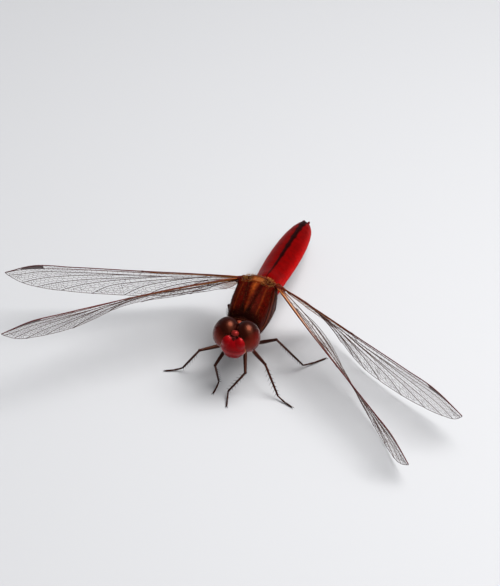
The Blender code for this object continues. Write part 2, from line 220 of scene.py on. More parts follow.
def meldShapes(shapes, grain, softening):
    # overlapping closed shapes melded into one skin
    mesh = bpy.data.meshes.new("meld")
    whole = bmesh.new()
    for shape in shapes:
        shape.to_mesh(mesh)
        whole.from_mesh(mesh)
        shape.free()
    whole.to_mesh(mesh)
    whole.free()
    holder = newObject("meld", mesh)
    remesh = holder.modifiers.new("remesh", "REMESH")
    remesh.mode = "VOXEL"
    remesh.voxel_size = grain
    holder.modifiers.new("smooth", "SMOOTH").iterations = softening
    result = holder.evaluated_get(bpy.context.evaluated_depsgraph_get()).to_mesh()
    points = np.zeros(len(result.vertices) * 3)
    result.vertices.foreach_get("co", points)
    faces = [tuple(face.vertices) for face in result.polygons]
    bpy.data.objects.remove(holder)
    bpy.data.meshes.remove(mesh)
    return points.reshape(-1, 3), faces


def hollowShade(points, faces, deepest=0.06):
    # how deep each point lies in a crease, about 0 on flat or domed skin, up to 1 in its creases; the
    # face is darkened by it as painted shade
    quads = np.array([face if len(face) == 4 else (*face, face[0]) for face in faces])
    edges = np.concatenate([quads[:, pair] for pair in ((0, 1), (1, 2), (2, 3), (3, 0))])
    here, there = np.concatenate([edges, edges[:, ::-1]]).T
    number = np.maximum(np.bincount(here, minlength=len(points)), 1)

    def nearby(values):
        # the mean of each point's neighbours
        total = np.zeros_like(values)
        np.add.at(total, here, values[there])
        return (total.T / number).T

    diagonals = [points[quads[:, k + 2]] - points[quads[:, k]] for k in (0, 1)]
    normals = np.zeros_like(points)
    for corner in range(4):
        np.add.at(normals, quads[:, corner], np.cross(*diagonals))
    edgeLength = np.linalg.norm(points[here] - points[there], axis=1).mean()
    hollow = ((nearby(points) - points) * unit(normals)).sum(1) / edgeLength
    for _ in range(3):  # spread a little
        hollow = 0.4 * hollow + 0.6 * nearby(hollow)
    return np.clip(hollow / deepest, 0, 1)


# Materials.

def addNode(tree, kind, **values):
    node = tree.nodes.new(kind)
    for name, value in values.items():
        if name in node.inputs:
            node.inputs[name].default_value = value
        else:
            setattr(node, name, value)
    return node


def joinNodes(tree, *rows):
    for start, output, end, socket in rows:
        tree.links.new(start.outputs[output], end.inputs[socket])


def newFinish(name, roughness, gleam=(1, 1, 1), specular=0.5):
    material = bpy.data.materials.new(name)
    material.use_nodes = True
    shader = material.node_tree.nodes["Principled BSDF"]
    shader.inputs["Roughness"].default_value = roughness
    shader.inputs["Specular IOR Level"].default_value = specular
    shader.inputs["Specular Tint"].default_value = (*gleam, 1)
    return material, shader


def plainFinish(name, colour, roughness, gleam=(1, 1, 1)):
    material, shader = newFinish(name, roughness, gleam)
    shader.inputs["Base Color"].default_value = (*colour, 1)
    return material


def shellFinish(name, roughness, specular, gleam, mottle, patchSize, pores=0.0, poreSize=1.0):
    # colour from the shape's own tint, mottled darker, with a fine pitted bump
    material, shader = newFinish(name, roughness, gleam, specular)
    tree = material.node_tree
    tint = addNode(tree, "ShaderNodeAttribute", attribute_name="tint")
    place = addNode(tree, "ShaderNodeTexCoord")
    patches = addNode(tree, "ShaderNodeTexNoise", Scale=1 / (patchSize * mm), Detail=4.0)
    limits = {"From Min": 0.35, "From Max": 0.7, "To Min": 1.0, "To Max": 1 - mottle}
    steep = addNode(tree, "ShaderNodeMapRange", **limits)
    shade = addNode(tree, "ShaderNodeVectorMath", operation="SCALE")
    joinNodes(tree, (place, "Object", patches, "Vector"), (patches, "Fac", steep, "Value"),
              (tint, "Color", shade, 0), (steep, "Result", shade, "Scale"),
              (shade, "Vector", shader, "Base Color"))
    if pores:
        grain = addNode(tree, "ShaderNodeTexNoise", Scale=1 / (poreSize * mm), Detail=2.0)
        relief = addNode(tree, "ShaderNodeBump", Strength=pores, Distance=0.03 * mm)
        joinNodes(tree, (place, "Object", grain, "Vector"), (grain, "Fac", relief, "Height"),
                  (relief, "Normal", shader, "Normal"))
    return material


# Stance: where the trunk, head and abdomen lie, worked out from the frame.

stance = {
    "tailDown": 9.0,
    "leftSideDown": 4.5,
    "headAside": 0.35,  # to the left of the trunk's middle
    "headYaw": 4.5,
    "headNod": 2.0,
    "headTilt": -0.5,
    "abdomenStart": 13.2,  # behind the head
    "abdomenBend": 0.8,
}

# thorax: distance behind the head, half width, height over and under the axis,
# squareness of top and bottom
thoraxSections = (
    (3.6, 1.8, 1.3, 2.5, 2.1, 2.2),
    (4.3, 2.35, 2.1, 3.1, 2.3, 2.2),
    (5.5, 2.7, 2.9, 3.45, 2.5, 2.3),
    (7.0, 2.95, 3.6, 3.5, 2.8, 2.3),
    (8.5, 3.05, 4.1, 3.35, 3.2, 2.3),
    (10.0, 3.05, 4.3, 3.1, 3.6, 2.2),
    (11.4, 2.95, 4.15, 2.75, 3.6, 2.2),
    (12.4, 2.6, 3.3, 2.4, 3.0, 2.2),
    (13.1, 2.0, 2.1, 2.0, 2.4, 2.2),
)


def turned(degrees, axis):
    return Matrix.Rotation(math.radians(degrees), 4, axis)


def nodeBox(node):
    return [np.array(corner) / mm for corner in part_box(node)]


def outlines(table, count):
    # rings of points, from the top round to the left, one for each row of the table
    angle = 2 * np.pi * np.arange(count) / count
    across, upward = np.sin(angle), np.cos(angle)
    rows = np.asarray(table, float)
    y, halfWidth, over, under, topPower, bottomPower = [rows[:, [k]] for k in range(6)]
    onTop = upward >= -1e-9
    power = np.where(onTop, topPower, bottomPower)
    x = halfWidth * np.sign(across) * np.abs(across) ** (2 / power)
    z = np.where(onTop, over, under) * np.sign(upward) * np.abs(upward) ** (2 / power)
    y = np.broadcast_to(y, x.shape)
    turn = np.broadcast_to(np.minimum(angle, 2 * np.pi - angle), x.shape)
    return np.stack([x, y, z], -1), turn


trunkTurn = turned(-stance["tailDown"], "X") @ turned(stance["leftSideDown"], "Y")
trunkCorner = moved(outlines(thoraxSections, 20)[0].reshape(-1, 3), trunkTurn).min(0)
trunk = Matrix.Translation(nodeBox("thorax")[0] - trunkCorner) @ trunkTurn
headTurn = turned(stance["headYaw"], "Z") @ turned(stance["headNod"], "X")
headTurn = headTurn @ turned(stance["headTilt"], "Y")
head = trunk @ Matrix.Translation((stance["headAside"], 0, 0)) @ headTurn
headCentre = np.array(head.translation)
abdomen = trunk @ Matrix.Translation((0, stance["abdomenStart"], 0))
abdomen = abdomen @ turned(stance["abdomenBend"], "Z")
print("head centre, mm:", headCentre.round(2))


# Finishes.

colours = {
    "eyeTop": (0.013, 0.001, 0.0006),
    "eyeSide": (0.12, 0.003, 0.002),
    "eyeLow": (0.17, 0.012, 0.020),
    "frons": (0.22, 0.0012, 0.003),
    "clypeus": (0.36, 0.010, 0.012),
    "faceLow": (0.16, 0.002, 0.006),
    "faceRim": (0.42, 0.13, 0.02),
    # dark of the seams on face and abdomen, also used as painted shade in the face's creases
    "seamAndShade": (0.03, 0.002, 0.002),
    "vertex": (0.15, 0.010, 0.008),
    "triangle": (0.20, 0.036, 0.014),
    "headBack": (0.03, 0.005, 0.003),
    "ocellus": (0.05, 0.008, 0.004),
    "thorax": (0.062, 0.0025, 0.001),
    "thoraxDark": (0.010, 0.0015, 0.001),
    "thoraxStreak": (0.27, 0.05, 0.008),
    "saddle": (0.40, 0.12, 0.03),
    "belly": (0.12, 0.035, 0.015),
    # the abdomen's top is painted darker and its sides lighter: painted light and shade
    "abdomen": (0.15, 0.0004, 0.0004),
    "abdomenSidePaintedLight": (0.40, 0.0008, 0.0006),
    "abdomenUnder": (0.30, 0.03, 0.015),
    "stripe": (0.006, 0.001, 0.001),
    "leg": (0.026, 0.006, 0.005),
    "legPale": (0.065, 0.015, 0.009),
    "claw": (0.012, 0.006, 0.005),
    "vein": (0.040, 0.011, 0.008),
    "veinBase": (0.26, 0.055, 0.008),
    "goldVein": (0.40, 0.13, 0.02),
    "costa": (0.085, 0.012, 0.010),
    "costaTip": (0.085, 0.008, 0.012),
    "spot": (0.05, 0.010, 0.007),
    "amber": (0.60, 0.22, 0.015),
    "membrane": (0.50, 0.44, 0.40),
    "hairGold": (0.36, 0.16, 0.045),
    "hairDark": (0.03, 0.012, 0.007),
}

warm, rosy, ember = (1.0, 0.45, 0.26), (1.0, 0.10, 0.10), (1.0, 0.27, 0.14)
eyeFinish = shellFinish("eyeFinish", 0.26, 0.50, ember, 0.25, 0.9)
faceFinish = shellFinish("faceFinish", 0.20, 0.60, rosy, 0.18, 0.5, 0.06, 0.09)
thoraxFinish = shellFinish("thoraxFinish", 0.42, 0.015, warm, 0.6, 0.45, 0.45, 0.12)
abdomenFinish = shellFinish("abdomenFinish", 0.38, 0.01, rosy, 0.35, 0.7, 0.25, 0.1)
legFinish = shellFinish("legFinish", 0.35, 0.25, warm, 0.3, 0.4, 0.15, 0.08)
ocellusFinish = plainFinish("ocellusFinish", colours["ocellus"], 0.22, ember)
clawFinish = plainFinish("clawFinish", colours["claw"], 0.35)
veinFinish = shellFinish("veinFinish", 0.38, 0.3, warm, 0.2, 0.5)
spotFinish = plainFinish("spotFinish", colours["spot"], 0.4)
hairFinish = shellFinish("hairFinish", 0.5, 0.0, warm, 0.2, 1.0)


# Eyes.

eyes = {
    "size": (3.72, 4.1, 4.7),
    "aside": 1.53,
    "centre": (-0.1, 0.42),
    "lean": 14.0,
    "seam": 0.015,  # half the crease between them
    "rows": 72,
    "columns": 108,
}


def buildEyes():
    for label, side in bothSides:
        lean = turned(-eyes["lean"] * side, "Y")
        centre = (side * eyes["aside"], *eyes["centre"])
        shape = ellipsoid(eyes["size"], centre, lean, eyes["rows"], eyes["columns"])
        cut = bmesh.ops.bisect_plane(
            shape, geom=shape.verts[:] + shape.edges[:] + shape.faces[:],
            plane_co=(side * eyes["seam"], 0, 0), plane_no=(side, 0, 0), clear_inner=True)
        rim = [item for item in cut["geom_cut"] if isinstance(item, bmesh.types.BMEdge)]
        bmesh.ops.contextual_create(shape, geom=rim)
        shape.verts.index_update()
        points, faces = shapeArrays(shape)
        height = points[:, 2] + 0.35 * points[:, 1]
        red = ramp(points[:, 0] * side, 1.3, 3.2) + (0.4 - height) / 2.2
        tint = paint("eyeTop", ("eyeSide", red), ("eyeLow", ramp(height, -1.1, -2.3)))
        parts = Parts()
        parts.add(moved(points, head), faces, tint)
        piece = parts.make("eye" + label, [eyeFinish])
        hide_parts("eye_" + label.lower())
    print("eyes made")


# Face and head capsule, melded from rounded plates in the head's own frame.

face = {
    "grain": 0.05,
    "softening": 18,
    # full size, then centre; a plate with a sideways place is made on both sides
    "plates": (
        ((3.95, 2.8, 3.6), (0.0, -1.40, -0.68)),  # the dome of the whole face
        ((2.0, 2.15, 2.3), (0.86, -1.60, 0.02)),  # lobes of the frons
        ((2.75, 2.1, 1.5), (0.0, -1.53, -1.80)),  # labrum
        ((1.1, 1.6, 1.7), (1.25, -0.50, -1.30)),  # cheeks
        ((1.5, 2.3, 0.9), (0.60, -0.25, -2.15)),  # labium
        ((3.6, 3.0, 3.2), (0.0, -0.3, -0.8)),
        ((4.7, 2.5, 3.85), (0.0, 0.92, -0.15)),  # back of the head
        ((1.2, 1.1, 0.95), (0.0, -1.58, 1.38)),  # vertex
        ((1.0, 0.9, 0.7), (0.0, 0.98, 1.68)),  # triangle behind the seam of the eyes
    ),
    "vertex": (0.0, -1.58, 1.38),
    "triangle": (0.0, 0.98, 1.75),
    "bandBow": 0.10,  # how far the bands across the face rise at their ends
}


def buildFace(parts):
    shapes = []
    for size, (x, y, z) in face["plates"]:
        for side in ((1, -1) if x else (1,)):
            shapes.append(ellipsoid(size, (side * x, y, z)))
    points, faces = meldShapes(shapes, face["grain"], face["softening"])
    x, y, z = points.T
    level = z - face["bandBow"] * x**2
    rim = bump(np.abs(x) - 1.86, 0.11) * (z < 0.5) * (z > -1.6)
    fromVertex, fromTriangle = [np.linalg.norm(points - face[spot], axis=1)
                                for spot in ("vertex", "triangle")]
    # painted shade in the groove under the vertex and down between the frons lobes
    grooveShade = ramp(fromVertex - 0.22 * bump(x, 0.2), 1.02, 0.82) * ramp(z, 0.45, 0.65)
    tint = paint(
        "faceLow",
        ("frons", ramp(z, -1.3, -0.5)),
        ("clypeus", 0.6 * bump(level + 1.42, 0.3)),
        ("seamAndShade", 0.5 * bump(level + 1.0, 0.06) + 0.4 * bump(level + 1.85, 0.05)),
        ("faceRim", 0.7 * rim),
        ("faceLow", ramp(z, -1.9, -2.2)),
        # painted shade: the face darkened in its creases
        ("seamAndShade", 0.45 * hollowShade(points, faces) * (y < 0) * ramp(z, -1.5, -1.0)),
        ("headBack", ramp(y, -0.1, 0.4)),
        # painted shade: the groove under the vertex, in the stripe's black
        ("stripe", grooveShade * ramp(np.abs(x), 0.72, 0.47)),
        ("vertex", ramp(fromVertex, 0.72, 0.60) * ramp(z, 1.14, 1.30)),
        ("triangle", ramp(fromTriangle, 0.62, 0.50)))
    parts.add(moved(points, head), faces, tint, 0)
    print("face made:", len(points), "points")


# Trunk: neck, thorax with its seams, and the knobs the wings are hinged on.

thorax = {
    "rings": 150,
    "around": 168,
    "inset": 0.03,
    "reach": 3.3,  # radius that turns an angle from the top into a distance on the skin
    "keel": (3.9, 9.3, 0.10, 0.12),  # start, end, height, width of the ridge along the back
    # lines on the skin, as (distance behind the head, turn from the top in degrees)
    "seams": (
        ((4.2, 118), (5.6, 96), (7.4, 70), (9.1, 47)),
        ((6.6, 112), (8.2, 88), (9.8, 66), (10.6, 54)),
        ((7.8, 122), (9.8, 100), (11.6, 78), (12.4, 62)),
    ),
    "seamDepth": 0.07,
    "seamWidth": 0.10,
    "crest": ((9.45, 0), (9.25, 20), (9.0, 42)),
    "crestWidth": 0.16,
    # pale streaks: strength, start and end
    "streaks": ((0.3, (4.6, 40), (8.6, 24)), (0.6, (5.4, 104), (9.6, 62)),
                (0.6, (7.6, 108), (11.8, 72))),
    # rises and dips: height, place and width along the trunk, place and width round it
    "relief": (
        (0.26, 9.5, 0.5, 2.6, 0.7),  # shoulder in front of each fore wing
        (-0.35, 12.0, 0.5, 1.2, 0.7),
        (0.16, 10.6, 0.5, 0.0, 0.55),
        (0.14, 12.1, 0.3, 0.0, 0.45),
    ),
    "waist": (11.4, 2.2),  # the fold between the wings, and how far round it goes
}

neck = (
    (1.2, 0.75, 0.6, 0.9, 2.0, 2.0),
    (2.2, 1.0, 0.9, 1.2, 2.0, 2.0),
    (2.45, 1.35, 1.25, 1.65, 2.0, 2.0),
    (2.8, 1.5, 1.35, 2.05, 2.0, 2.0),
    (3.05, 1.42, 1.15, 2.2, 2.0, 2.0),
    (3.35, 1.55, 1.35, 2.35, 2.0, 2.0),
    (3.9, 1.3, 1.0, 2.2, 2.0, 2.0),
)


def surfaceNormals(rows):
    along = np.gradient(rows, axis=0)
    around = (np.roll(rows, -1, axis=1) - np.roll(rows, 1, axis=1)) / 2
    return unit(np.cross(around, along))


def distanceToLine(y, arc, line):
    # distance on the skin to a line of (distance behind the head, turn from the top)
    best = np.full(y.shape, far)
    corners = [(place, math.radians(turn) * thorax["reach"]) for place, turn in line]
    for (y0, a0), (y1, a1) in zip(corners, corners[1:]):
        dy, da = y1 - y0, a1 - a0
        share = np.clip(((y - y0) * dy + (arc - a0) * da) / (dy**2 + da**2), 0, 1)
        best = np.minimum(best, np.hypot(y - y0 - share * dy, arc - a0 - share * da))
    return best


def addLoft(parts, rows, tint, place, finish):
    # ring rows, both ends closed by a middle point that takes the mean of its ring
    points, tints = [np.concatenate([grid.reshape(-1, 3), grid[:1].mean(1), grid[-1:].mean(1)])
                     for grid in (rows, tint)]
    count = rows.shape[1]
    first, last, base = len(points) - 2, len(points) - 1, (rows.shape[0] - 1) * count
    faces = gridFaces(rows.shape[0], count, True)
    faces += [(first, (k + 1) % count, k) for k in range(count)]
    faces += [(last, base + k, base + (k + 1) % count) for k in range(count)]
    parts.add(moved(points, place), faces, tints, finish)


def thoraxGrid():
    places = np.linspace(thoraxSections[0][0] - 0.25, thoraxSections[-1][0] + 0.1, thorax["rings"])
    table = np.column_stack([places, curveThrough(thoraxSections, places)])
    table[:, 1:4] -= thorax["inset"]
    rows, turn = outlines(table, thorax["around"])
    fromEnd = np.minimum(places - places[0], places[-1] - places)
    rows[:, :, [0, 2]] *= np.sqrt(np.minimum(1, (fromEnd + 0.12) / 0.6))[:, None, None]
    return rows, turn


def buildThorax(parts):
    rows, turn = thoraxGrid()
    y, arc = rows[:, :, 1], turn * thorax["reach"]
    start, end, height, width = thorax["keel"]
    onKeel = ramp(y, start, start + 0.8) * ramp(y, end, end - 0.6)
    seams = np.min([distanceToLine(y, arc, line) for line in thorax["seams"]], axis=0)
    crest = bump(distanceToLine(y, arc, thorax["crest"]), thorax["crestWidth"])
    saddle = bump(y - 10.3, 0.75) * bump(arc - 1.25, 0.7)
    waist, waistEnd = thorax["waist"]
    lift = onKeel * (height * bump(arc, width) - 0.05 * bump(arc - 0.38, 0.2))
    lift -= thorax["seamDepth"] * bump(seams, thorax["seamWidth"])
    lift += 0.10 * crest - 0.42 * saddle - 0.16 * bump(y - waist, 0.16) * (arc < waistEnd)
    for rise, along, length, around, breadth in thorax["relief"]:
        lift += rise * bump(y - along, length) * bump(arc - around, breadth)
    rows = rows + surfaceNormals(rows) * lift[..., None]

    dark = 0.96 * bump(np.maximum(y - 3.9, 0), 0.9) + 0.75 * bump(arc - 0.55, 0.28) * (y < end)
    dark += 0.75 * bump(seams, 0.24) + 0.6 * saddle
    dark += 0.7 * bump(y - waist, 0.3) * (arc < waistEnd)
    streaks = [("thoraxStreak", strength * bump(distanceToLine(y, arc, line), 0.15))
               for strength, *line in thorax["streaks"]]
    # pale line along the keel: partly its own colour, partly a painted highlight, stronger towards the
    # rear
    keelPaleAndHighlight = (0.25 + 0.75 * ramp(y, 6.5, 8.5)) * onKeel * bump(arc, width)
    tint = paint(
        "thorax",
        ("belly", ramp(turn, 2.3, 2.8)),
        ("thoraxDark", dark),
        *streaks,
        ("thoraxStreak", keelPaleAndHighlight),
        # painted highlight along the crest
        ("thoraxStreak", 0.6 * crest * bump(arc, 1.1)),
        ("saddle", 0.75 * bump(y - 10.05, 0.5) * bump(arc, 0.36)),
        ("thoraxStreak", 0.6 * bump(y - 12.6, 0.5) * (turn < 1.2)))
    addLoft(parts, rows, tint, trunk, 1)

    places = np.linspace(neck[0][0], neck[-1][0], 40)
    rows, turn = outlines(np.column_stack([places, curveThrough(neck, places)]), 64)
    y = rows[:, :, 1]
    tint = paint("thoraxDark", ("thorax", 0.35 * bump(y - 2.8, 0.3)),
                 ("thoraxDark", bump(y - 3.08, 0.14)))
    addLoft(parts, rows, tint, trunk, 1)
    print("thorax made")


# Abdomen: ten rings with a keel, side edges and joints.

segments = {
    # length, width and height of each
    "sizes": ((1.2, 3.9, 3.6), (2.6, 4.3, 3.7), (3.6, 4.5, 3.1), (3.6, 4.75, 2.8), (3.5, 4.85, 2.7),
              (3.4, 4.7, 2.6), (3.0, 4.3, 2.45), (2.1, 3.65, 2.2), (1.5, 2.9, 1.9), (0.8, 2.1, 1.5)),
    "startSize": 0.94,  # of the first one's
    "keelShare": 0.62,
    "powers": (1.7, 2.4),
    "ringsPerMm": 8,
    "around": 112,
    "jointDepth": 0.03,
    "jointWidth": 0.09,
    "inset": 0.03,
    "ribs": (2.6, 5.3),
    # half the width of the dark stripe, from the front to the tail
    "stripePlaces": (1.5, 4.5, 9.0, 15.0, 22.0, 24.0, 25.6),
    "stripeHalf": (0.06, 0.12, 0.24, 0.36, 0.42, 0.48, 0.60),
}


def abdomenTable(places, middles):
    _, width, height = segments["sizes"][0]
    knots = [(0.0, width * segments["startSize"], height * segments["startSize"])]
    knots += [(middle, *size[1:]) for middle, size in zip(middles, segments["sizes"])]
    width, height = curveThrough(knots, places).T
    table = np.column_stack([places, width / 2, height, height, *np.ones((2, len(places)))])
    return table * (1, 1, segments["keelShare"], 1 - segments["keelShare"], *segments["powers"])


def buildAbdomen(parts):
    lengths = np.array([size[0] for size in segments["sizes"]])
    joints = np.cumsum(lengths)
    total = joints[-1]
    places = np.linspace(-0.5, total, int(total * segments["ringsPerMm"]))
    table = abdomenTable(places, joints - lengths / 2)
    table[:, 1:4] -= segments["inset"]
    table[:, 1:4] *= np.sqrt(np.clip((total + 0.02 - places) / 0.35, 0.02, 1))[:, None]
    rows, turn = outlines(table, segments["around"])
    y, sideways = rows[:, :, 1], np.abs(rows[:, :, 0])
    before = np.min([np.where(y <= joint, joint - y, far) for joint in joints], axis=0)
    after = np.min([np.where(y > joint, y - joint, far) for joint in joints[:-1]], axis=0)
    gap = np.minimum(before, after)
    fromEdge = turn - np.pi / 2
    lift = 0.02 * bump(before - 0.05, 0.12) - segments["jointDepth"] * bump(after, segments["jointWidth"])
    lift += 0.05 * bump(fromEdge, 0.09)  # the sharp side edge
    lift += 0.03 * bump(sideways, 0.09) * (turn < 1)  # the fine keel along the back
    for place in segments["ribs"]:
        lift += 0.02 * bump(y - place, 0.07) * (turn < 1.6)
    rows = rows + surfaceNormals(rows) * lift[..., None]

    half = np.interp(y, segments["stripePlaces"], segments["stripeHalf"])
    half = half * (0.85 + 0.35 * bump(gap, 0.5))
    stripe = np.clip((half - sideways) / 0.14 + 0.5, 0, 1) * (turn < 1.5) * ramp(y, 0, 0.8)
    tint = paint(
        "abdomen",
        # painted light: the sides lighter than the top
        ("abdomenSidePaintedLight", ramp(turn, 0.75, 1.35)),
        ("abdomenUnder", ramp(turn, 1.75, 2.0)),
        ("thorax", 0.75 * (1 - y / 1.6)),
        ("stripe", 0.97 * stripe),
        ("seamAndShade", 0.4 * bump(gap, 0.06) * (turn < 1.9)),
        ("stripe", 0.8 * bump(fromEdge, 0.05) * ramp(y, 14, 22)))
    addLoft(parts, rows, tint, abdomen, 2)
    print("abdomen made")
    return total


# line and radii of each clasper, from the end of the abdomen
claspers = {
    "upper": (((0.40, -0.15, 0.28), (0.44, 0.55, 0.27), (0.38, 1.3, 0.14)), (0.18, 0.20, 0.06)),
    "lower": (((0.0, -0.15, -0.28), (0.0, 0.6, -0.33), (0.0, 1.15, -0.20)), (0.26, 0.24, 0.08)),
}


def addClasper(parts, name, side, start):
    line, radii = claspers[name]
    share = np.linspace(0, 1, 12)
    path = evenCurve(line, share) * (side, 1, 1) + (0, start, 0)
    points, faces = tubeAlong(path, evenCurve(radii, share)[:, 0], 12)
    tint = paint("abdomen", ("stripe", (points[:, 1] - start + 0.2) / 1.6))
    parts.add(moved(points, abdomen), faces, tint, 2)


# Legs: their lines are read from the frame's own limbs.

legs = {
    # radii from the body outwards
    "coxa": (0.50, 0.56, 0.42, 0.28),
    "femur": (0.23, 0.30, 0.26, 0.20),
    "tibia": (0.17, 0.17, 0.16, 0.14),
    "tarsus": 0.115,
    "footHeight": 0.125,  # of the foot's middle line
    "knee": 0.44,  # the joint's full size
    "footJoints": ((0.0, 0.22, 0.9), (0.22, 0.5, 1.0), (0.5, 1.0, 0.95)),  # start, end, thickness
    "spineEvery": 0.62,
    "femurSpine": 0.22,
    "tibiaSpine": 0.60,
    "spineRadii": (0.038, 0.026, 0.006),
    "spineLean": (0.75, 0.65, 0.35),  # along the limb, to its side, outwards
    "clawLength": 0.42,
}


def limbEnds(node):
    points = np.array([vertex.co[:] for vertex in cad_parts[node].data.vertices]) / mm
    middle = points.mean(0)
    along = np.linalg.svd(points - middle, full_matrices=False)[2][0]
    reach = (points - middle) @ along
    low = points[reach < reach.min() + 0.12].mean(0)
    high = points[reach > reach.max() - 0.12].mean(0)
    return low, high


def nearest(ends, to):
    # the two ends, the one nearer to a point first
    return sorted(ends, key=lambda end: np.linalg.norm(end - to))


def crossing(a0, a1, b0, b1, most=0.6):
    # the point nearest to both lines, not far past the ends a1 and b0
    u, v, w = unit(a1 - a0), unit(b1 - b0), a1 - b0
    mean = u @ v
    square = max(1 - mean**2, 1e-6)
    along = np.clip((mean * (v @ w) - (u @ w)) / square, -most, most)
    other = np.clip(((v @ w) - mean * (u @ w)) / square, -most, most)
    return (a1 + along * u + b0 + other * v) / 2


def legPoints(leg):
    coxa = np.mean(nodeBox(leg + "_coxa"), axis=0)
    hip, kneeAbove = nearest(limbEnds(leg + "_femur"), coxa)
    kneeBelow, ankleAbove = nearest(limbEnds(leg + "_tibia"), kneeAbove)
    ankleBelow, toe = nearest(limbEnds(leg + "_tarsus"), ankleAbove)
    knee = crossing(hip, kneeAbove, kneeBelow, ankleAbove)
    ankle = (ankleAbove + ankleBelow) / 2
    socket = coxa + (coxa - hip) * 0.9
    return socket, hip + unit(hip - kneeAbove) * 0.12, knee, ankle, toe


def spinesAlong(parts, start, end, outward, length, radius, reach):
    # two rows of spines that slant towards the far end
    along = unit(end - start)
    aside = unit(np.cross(along, outward))
    forward, sideways, out = legs["spineLean"]
    count = max(2, int(np.linalg.norm(end - start) * reach / legs["spineEvery"]))
    for row in (1, -1):
        way = unit(along * forward + aside * row * sideways + outward * out)
        for step in range(count):
            share = 1 - reach + reach * (step + 0.5 + 0.15 * row) / count
            root = start + (end - start) * share + aside * row * radius * 0.8
            size = length * (0.75 + 0.35 * math.sin(math.pi * share))
            path = [root, root + way * size * 0.5, root + way * size + along * size * 0.08]
            points, faces = tubeAlong(path, legs["spineRadii"], 5, outward)
            parts.add(points, faces, colours["claw"], 1)


def levelled(vector):
    return unit(np.array([*vector[:2], 0.0]))


def addFoot(parts, ankle, toe):
    # three short joints, then two claws
    thickness, height = legs["tarsus"], legs["footHeight"]
    share = np.linspace(0, 1, 14)
    toe = np.array([*toe[:2], thickness])
    for first, last, thick in legs["footJoints"]:
        ends = []
        for place in (first, last):
            end = ankle + (toe - ankle) * place
            fall = height + (ankle[2] - height) * (1 - place) ** 1.6
            end[2] = max(fall * (1 - 0.3 * place), height)
            ends.append(end)
        path = ends[0] + (ends[1] - ends[0]) * share[:, None]
        swell = thickness * thick * (1 + 0.18 * np.sin(share * np.pi) + 0.1 * share)
        points, faces = tubeAlong(path, swell, 10)
        points[:, 2] = np.maximum(points[:, 2], 0)
        parts.add(points, faces, colours["leg"], 0)
    ahead = levelled(toe - ankle)
    aside = np.cross(ahead, (0, 0, 1))
    length = legs["clawLength"]
    for row in (1, -1):
        path = np.array([toe - ahead * 0.05,
                         toe + (ahead * 0.45 + aside * row * 0.3) * length + (0, 0, 0.03),
                         toe + (ahead * 0.95 + aside * row * 0.42) * length])
        path[-1, 2] = 0.02
        points, faces = tubeAlong(evenCurve(path, np.linspace(0, 1, 6)), np.linspace(0.06, 0.012, 6), 6)
        points[:, 2] = np.maximum(points[:, 2], 0)
        parts.add(points, faces, colours["claw"], 1)


def buildLeg(name):
    socket, hip, knee, ankle, toe = legPoints(name)
    parts = Parts()

    def limb(start, end, radii, dark):
        share = np.linspace(0, 1, 14)
        path = start + (end - start) * share[:, None]
        points, faces = tubeAlong(path, evenCurve(radii, share)[:, 0], 14)
        reach = np.linalg.norm(points - start, axis=1) / np.linalg.norm(end - start)
        parts.add(points, faces, paint("legPale", ("leg", reach * 0.9 + dark)), 0)

    limb(socket, hip, legs["coxa"], 0.1)
    limb(hip, knee, legs["femur"], 0.0)
    points, faces = shapeArrays(ellipsoid([legs["knee"]] * 3, Vector(knee), None, 10, 14))
    parts.add(points, faces, colours["leg"], 0)
    limb(knee, ankle, legs["tibia"], 0.35)
    thigh = unit(knee - hip)
    below = unit(np.cross(thigh, np.cross(thigh, (0, 0, 1))))
    spinesAlong(parts, hip, knee, below, legs["femurSpine"], legs["femur"][-1], 0.75)
    spinesAlong(parts, knee, ankle, -levelled(toe - hip), legs["tibiaSpine"], legs["tibia"][0], 0.9)
    addFoot(parts, ankle, toe)
    piece = parts.make(pieceName(name), [legFinish, clawFinish])
    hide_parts(*[name + "_" + part for part in ("coxa", "femur", "tibia", "tarsus")])


# Wings: net of veins, clear membrane, coloured spot near the tip.

rearEdge = far  # a vein's last place when it runs out to the rear edge

foreWing = {
    "span": 35.6,
    "front": ((0, 0), (0.25, 0.0), (0.5, 0.1), (0.75, 0.15), (0.9, 0.5), (1.0, 2.7)),
    "rear": ((0, 1.2), (0.08, 2.4), (0.2, 5.9), (0.35, 7.5), (0.52, 8.0), (0.68, 7.8),
             (0.82, 6.9), (0.93, 5.2), (1.0, 2.7)),
    "nodus": 0.47,
    "spot": (0.845, 0.935),
    "amberReach": 0.06,
    "rootReach": 1.9,
    # each vein as (share of span, mm behind the front line), in order from the front
    "veins": (
        ((0, 0.45), (0.25, 0.42), (0.43, 0.34), (0.47, 0.09)),
        ((0, 0.8), (0.25, 0.85), (0.5, 0.95), (0.75, 1.1), (0.87, 1.4), (0.95, 2.0), (1.0, 2.7)),
        ((0.11, 0.83), (0.15, 1.5), (0.3, 1.75), (0.5, 1.85), (0.75, 2.05), (0.88, 2.5), (0.95, 3.2),
         (0.985, rearEdge)),
        ((0.5, 1.85), (0.58, 2.4), (0.7, 3.1), (0.8, 3.75), (0.88, 4.6), (0.93, rearEdge)),
        ((0.38, 1.78), (0.48, 2.6), (0.6, 3.45), (0.72, 4.4), (0.82, 5.5), (0.875, rearEdge)),
        ((0.28, 1.73), (0.38, 2.7), (0.5, 3.8), (0.62, 4.9), (0.72, 6.2), (0.78, rearEdge)),
        ((0.11, 1.7), (0.18, 2.4), (0.3, 3.3), (0.42, 4.3), (0.54, 5.6), (0.62, 6.9),
         (0.66, rearEdge)),
        ((0, 1.3), (0.1, 2.3), (0.17, 3.05), (0.27, 4.2), (0.37, 5.5), (0.45, 6.9),
         (0.49, rearEdge)),
        ((0, 1.6), (0.1, 2.9), (0.18, 4.2), (0.25, 5.3), (0.31, 6.4), (0.35, rearEdge)),
    ),
    # the two ends of each strut
    "struts": ((0.11, 0.83, 0.11, 1.7), (0.17, 2.33, 0.17, 3.05), (0.17, 3.05, 0.205, 2.6),
               (0.47, 0.09, 0.485, 1.85)),
}

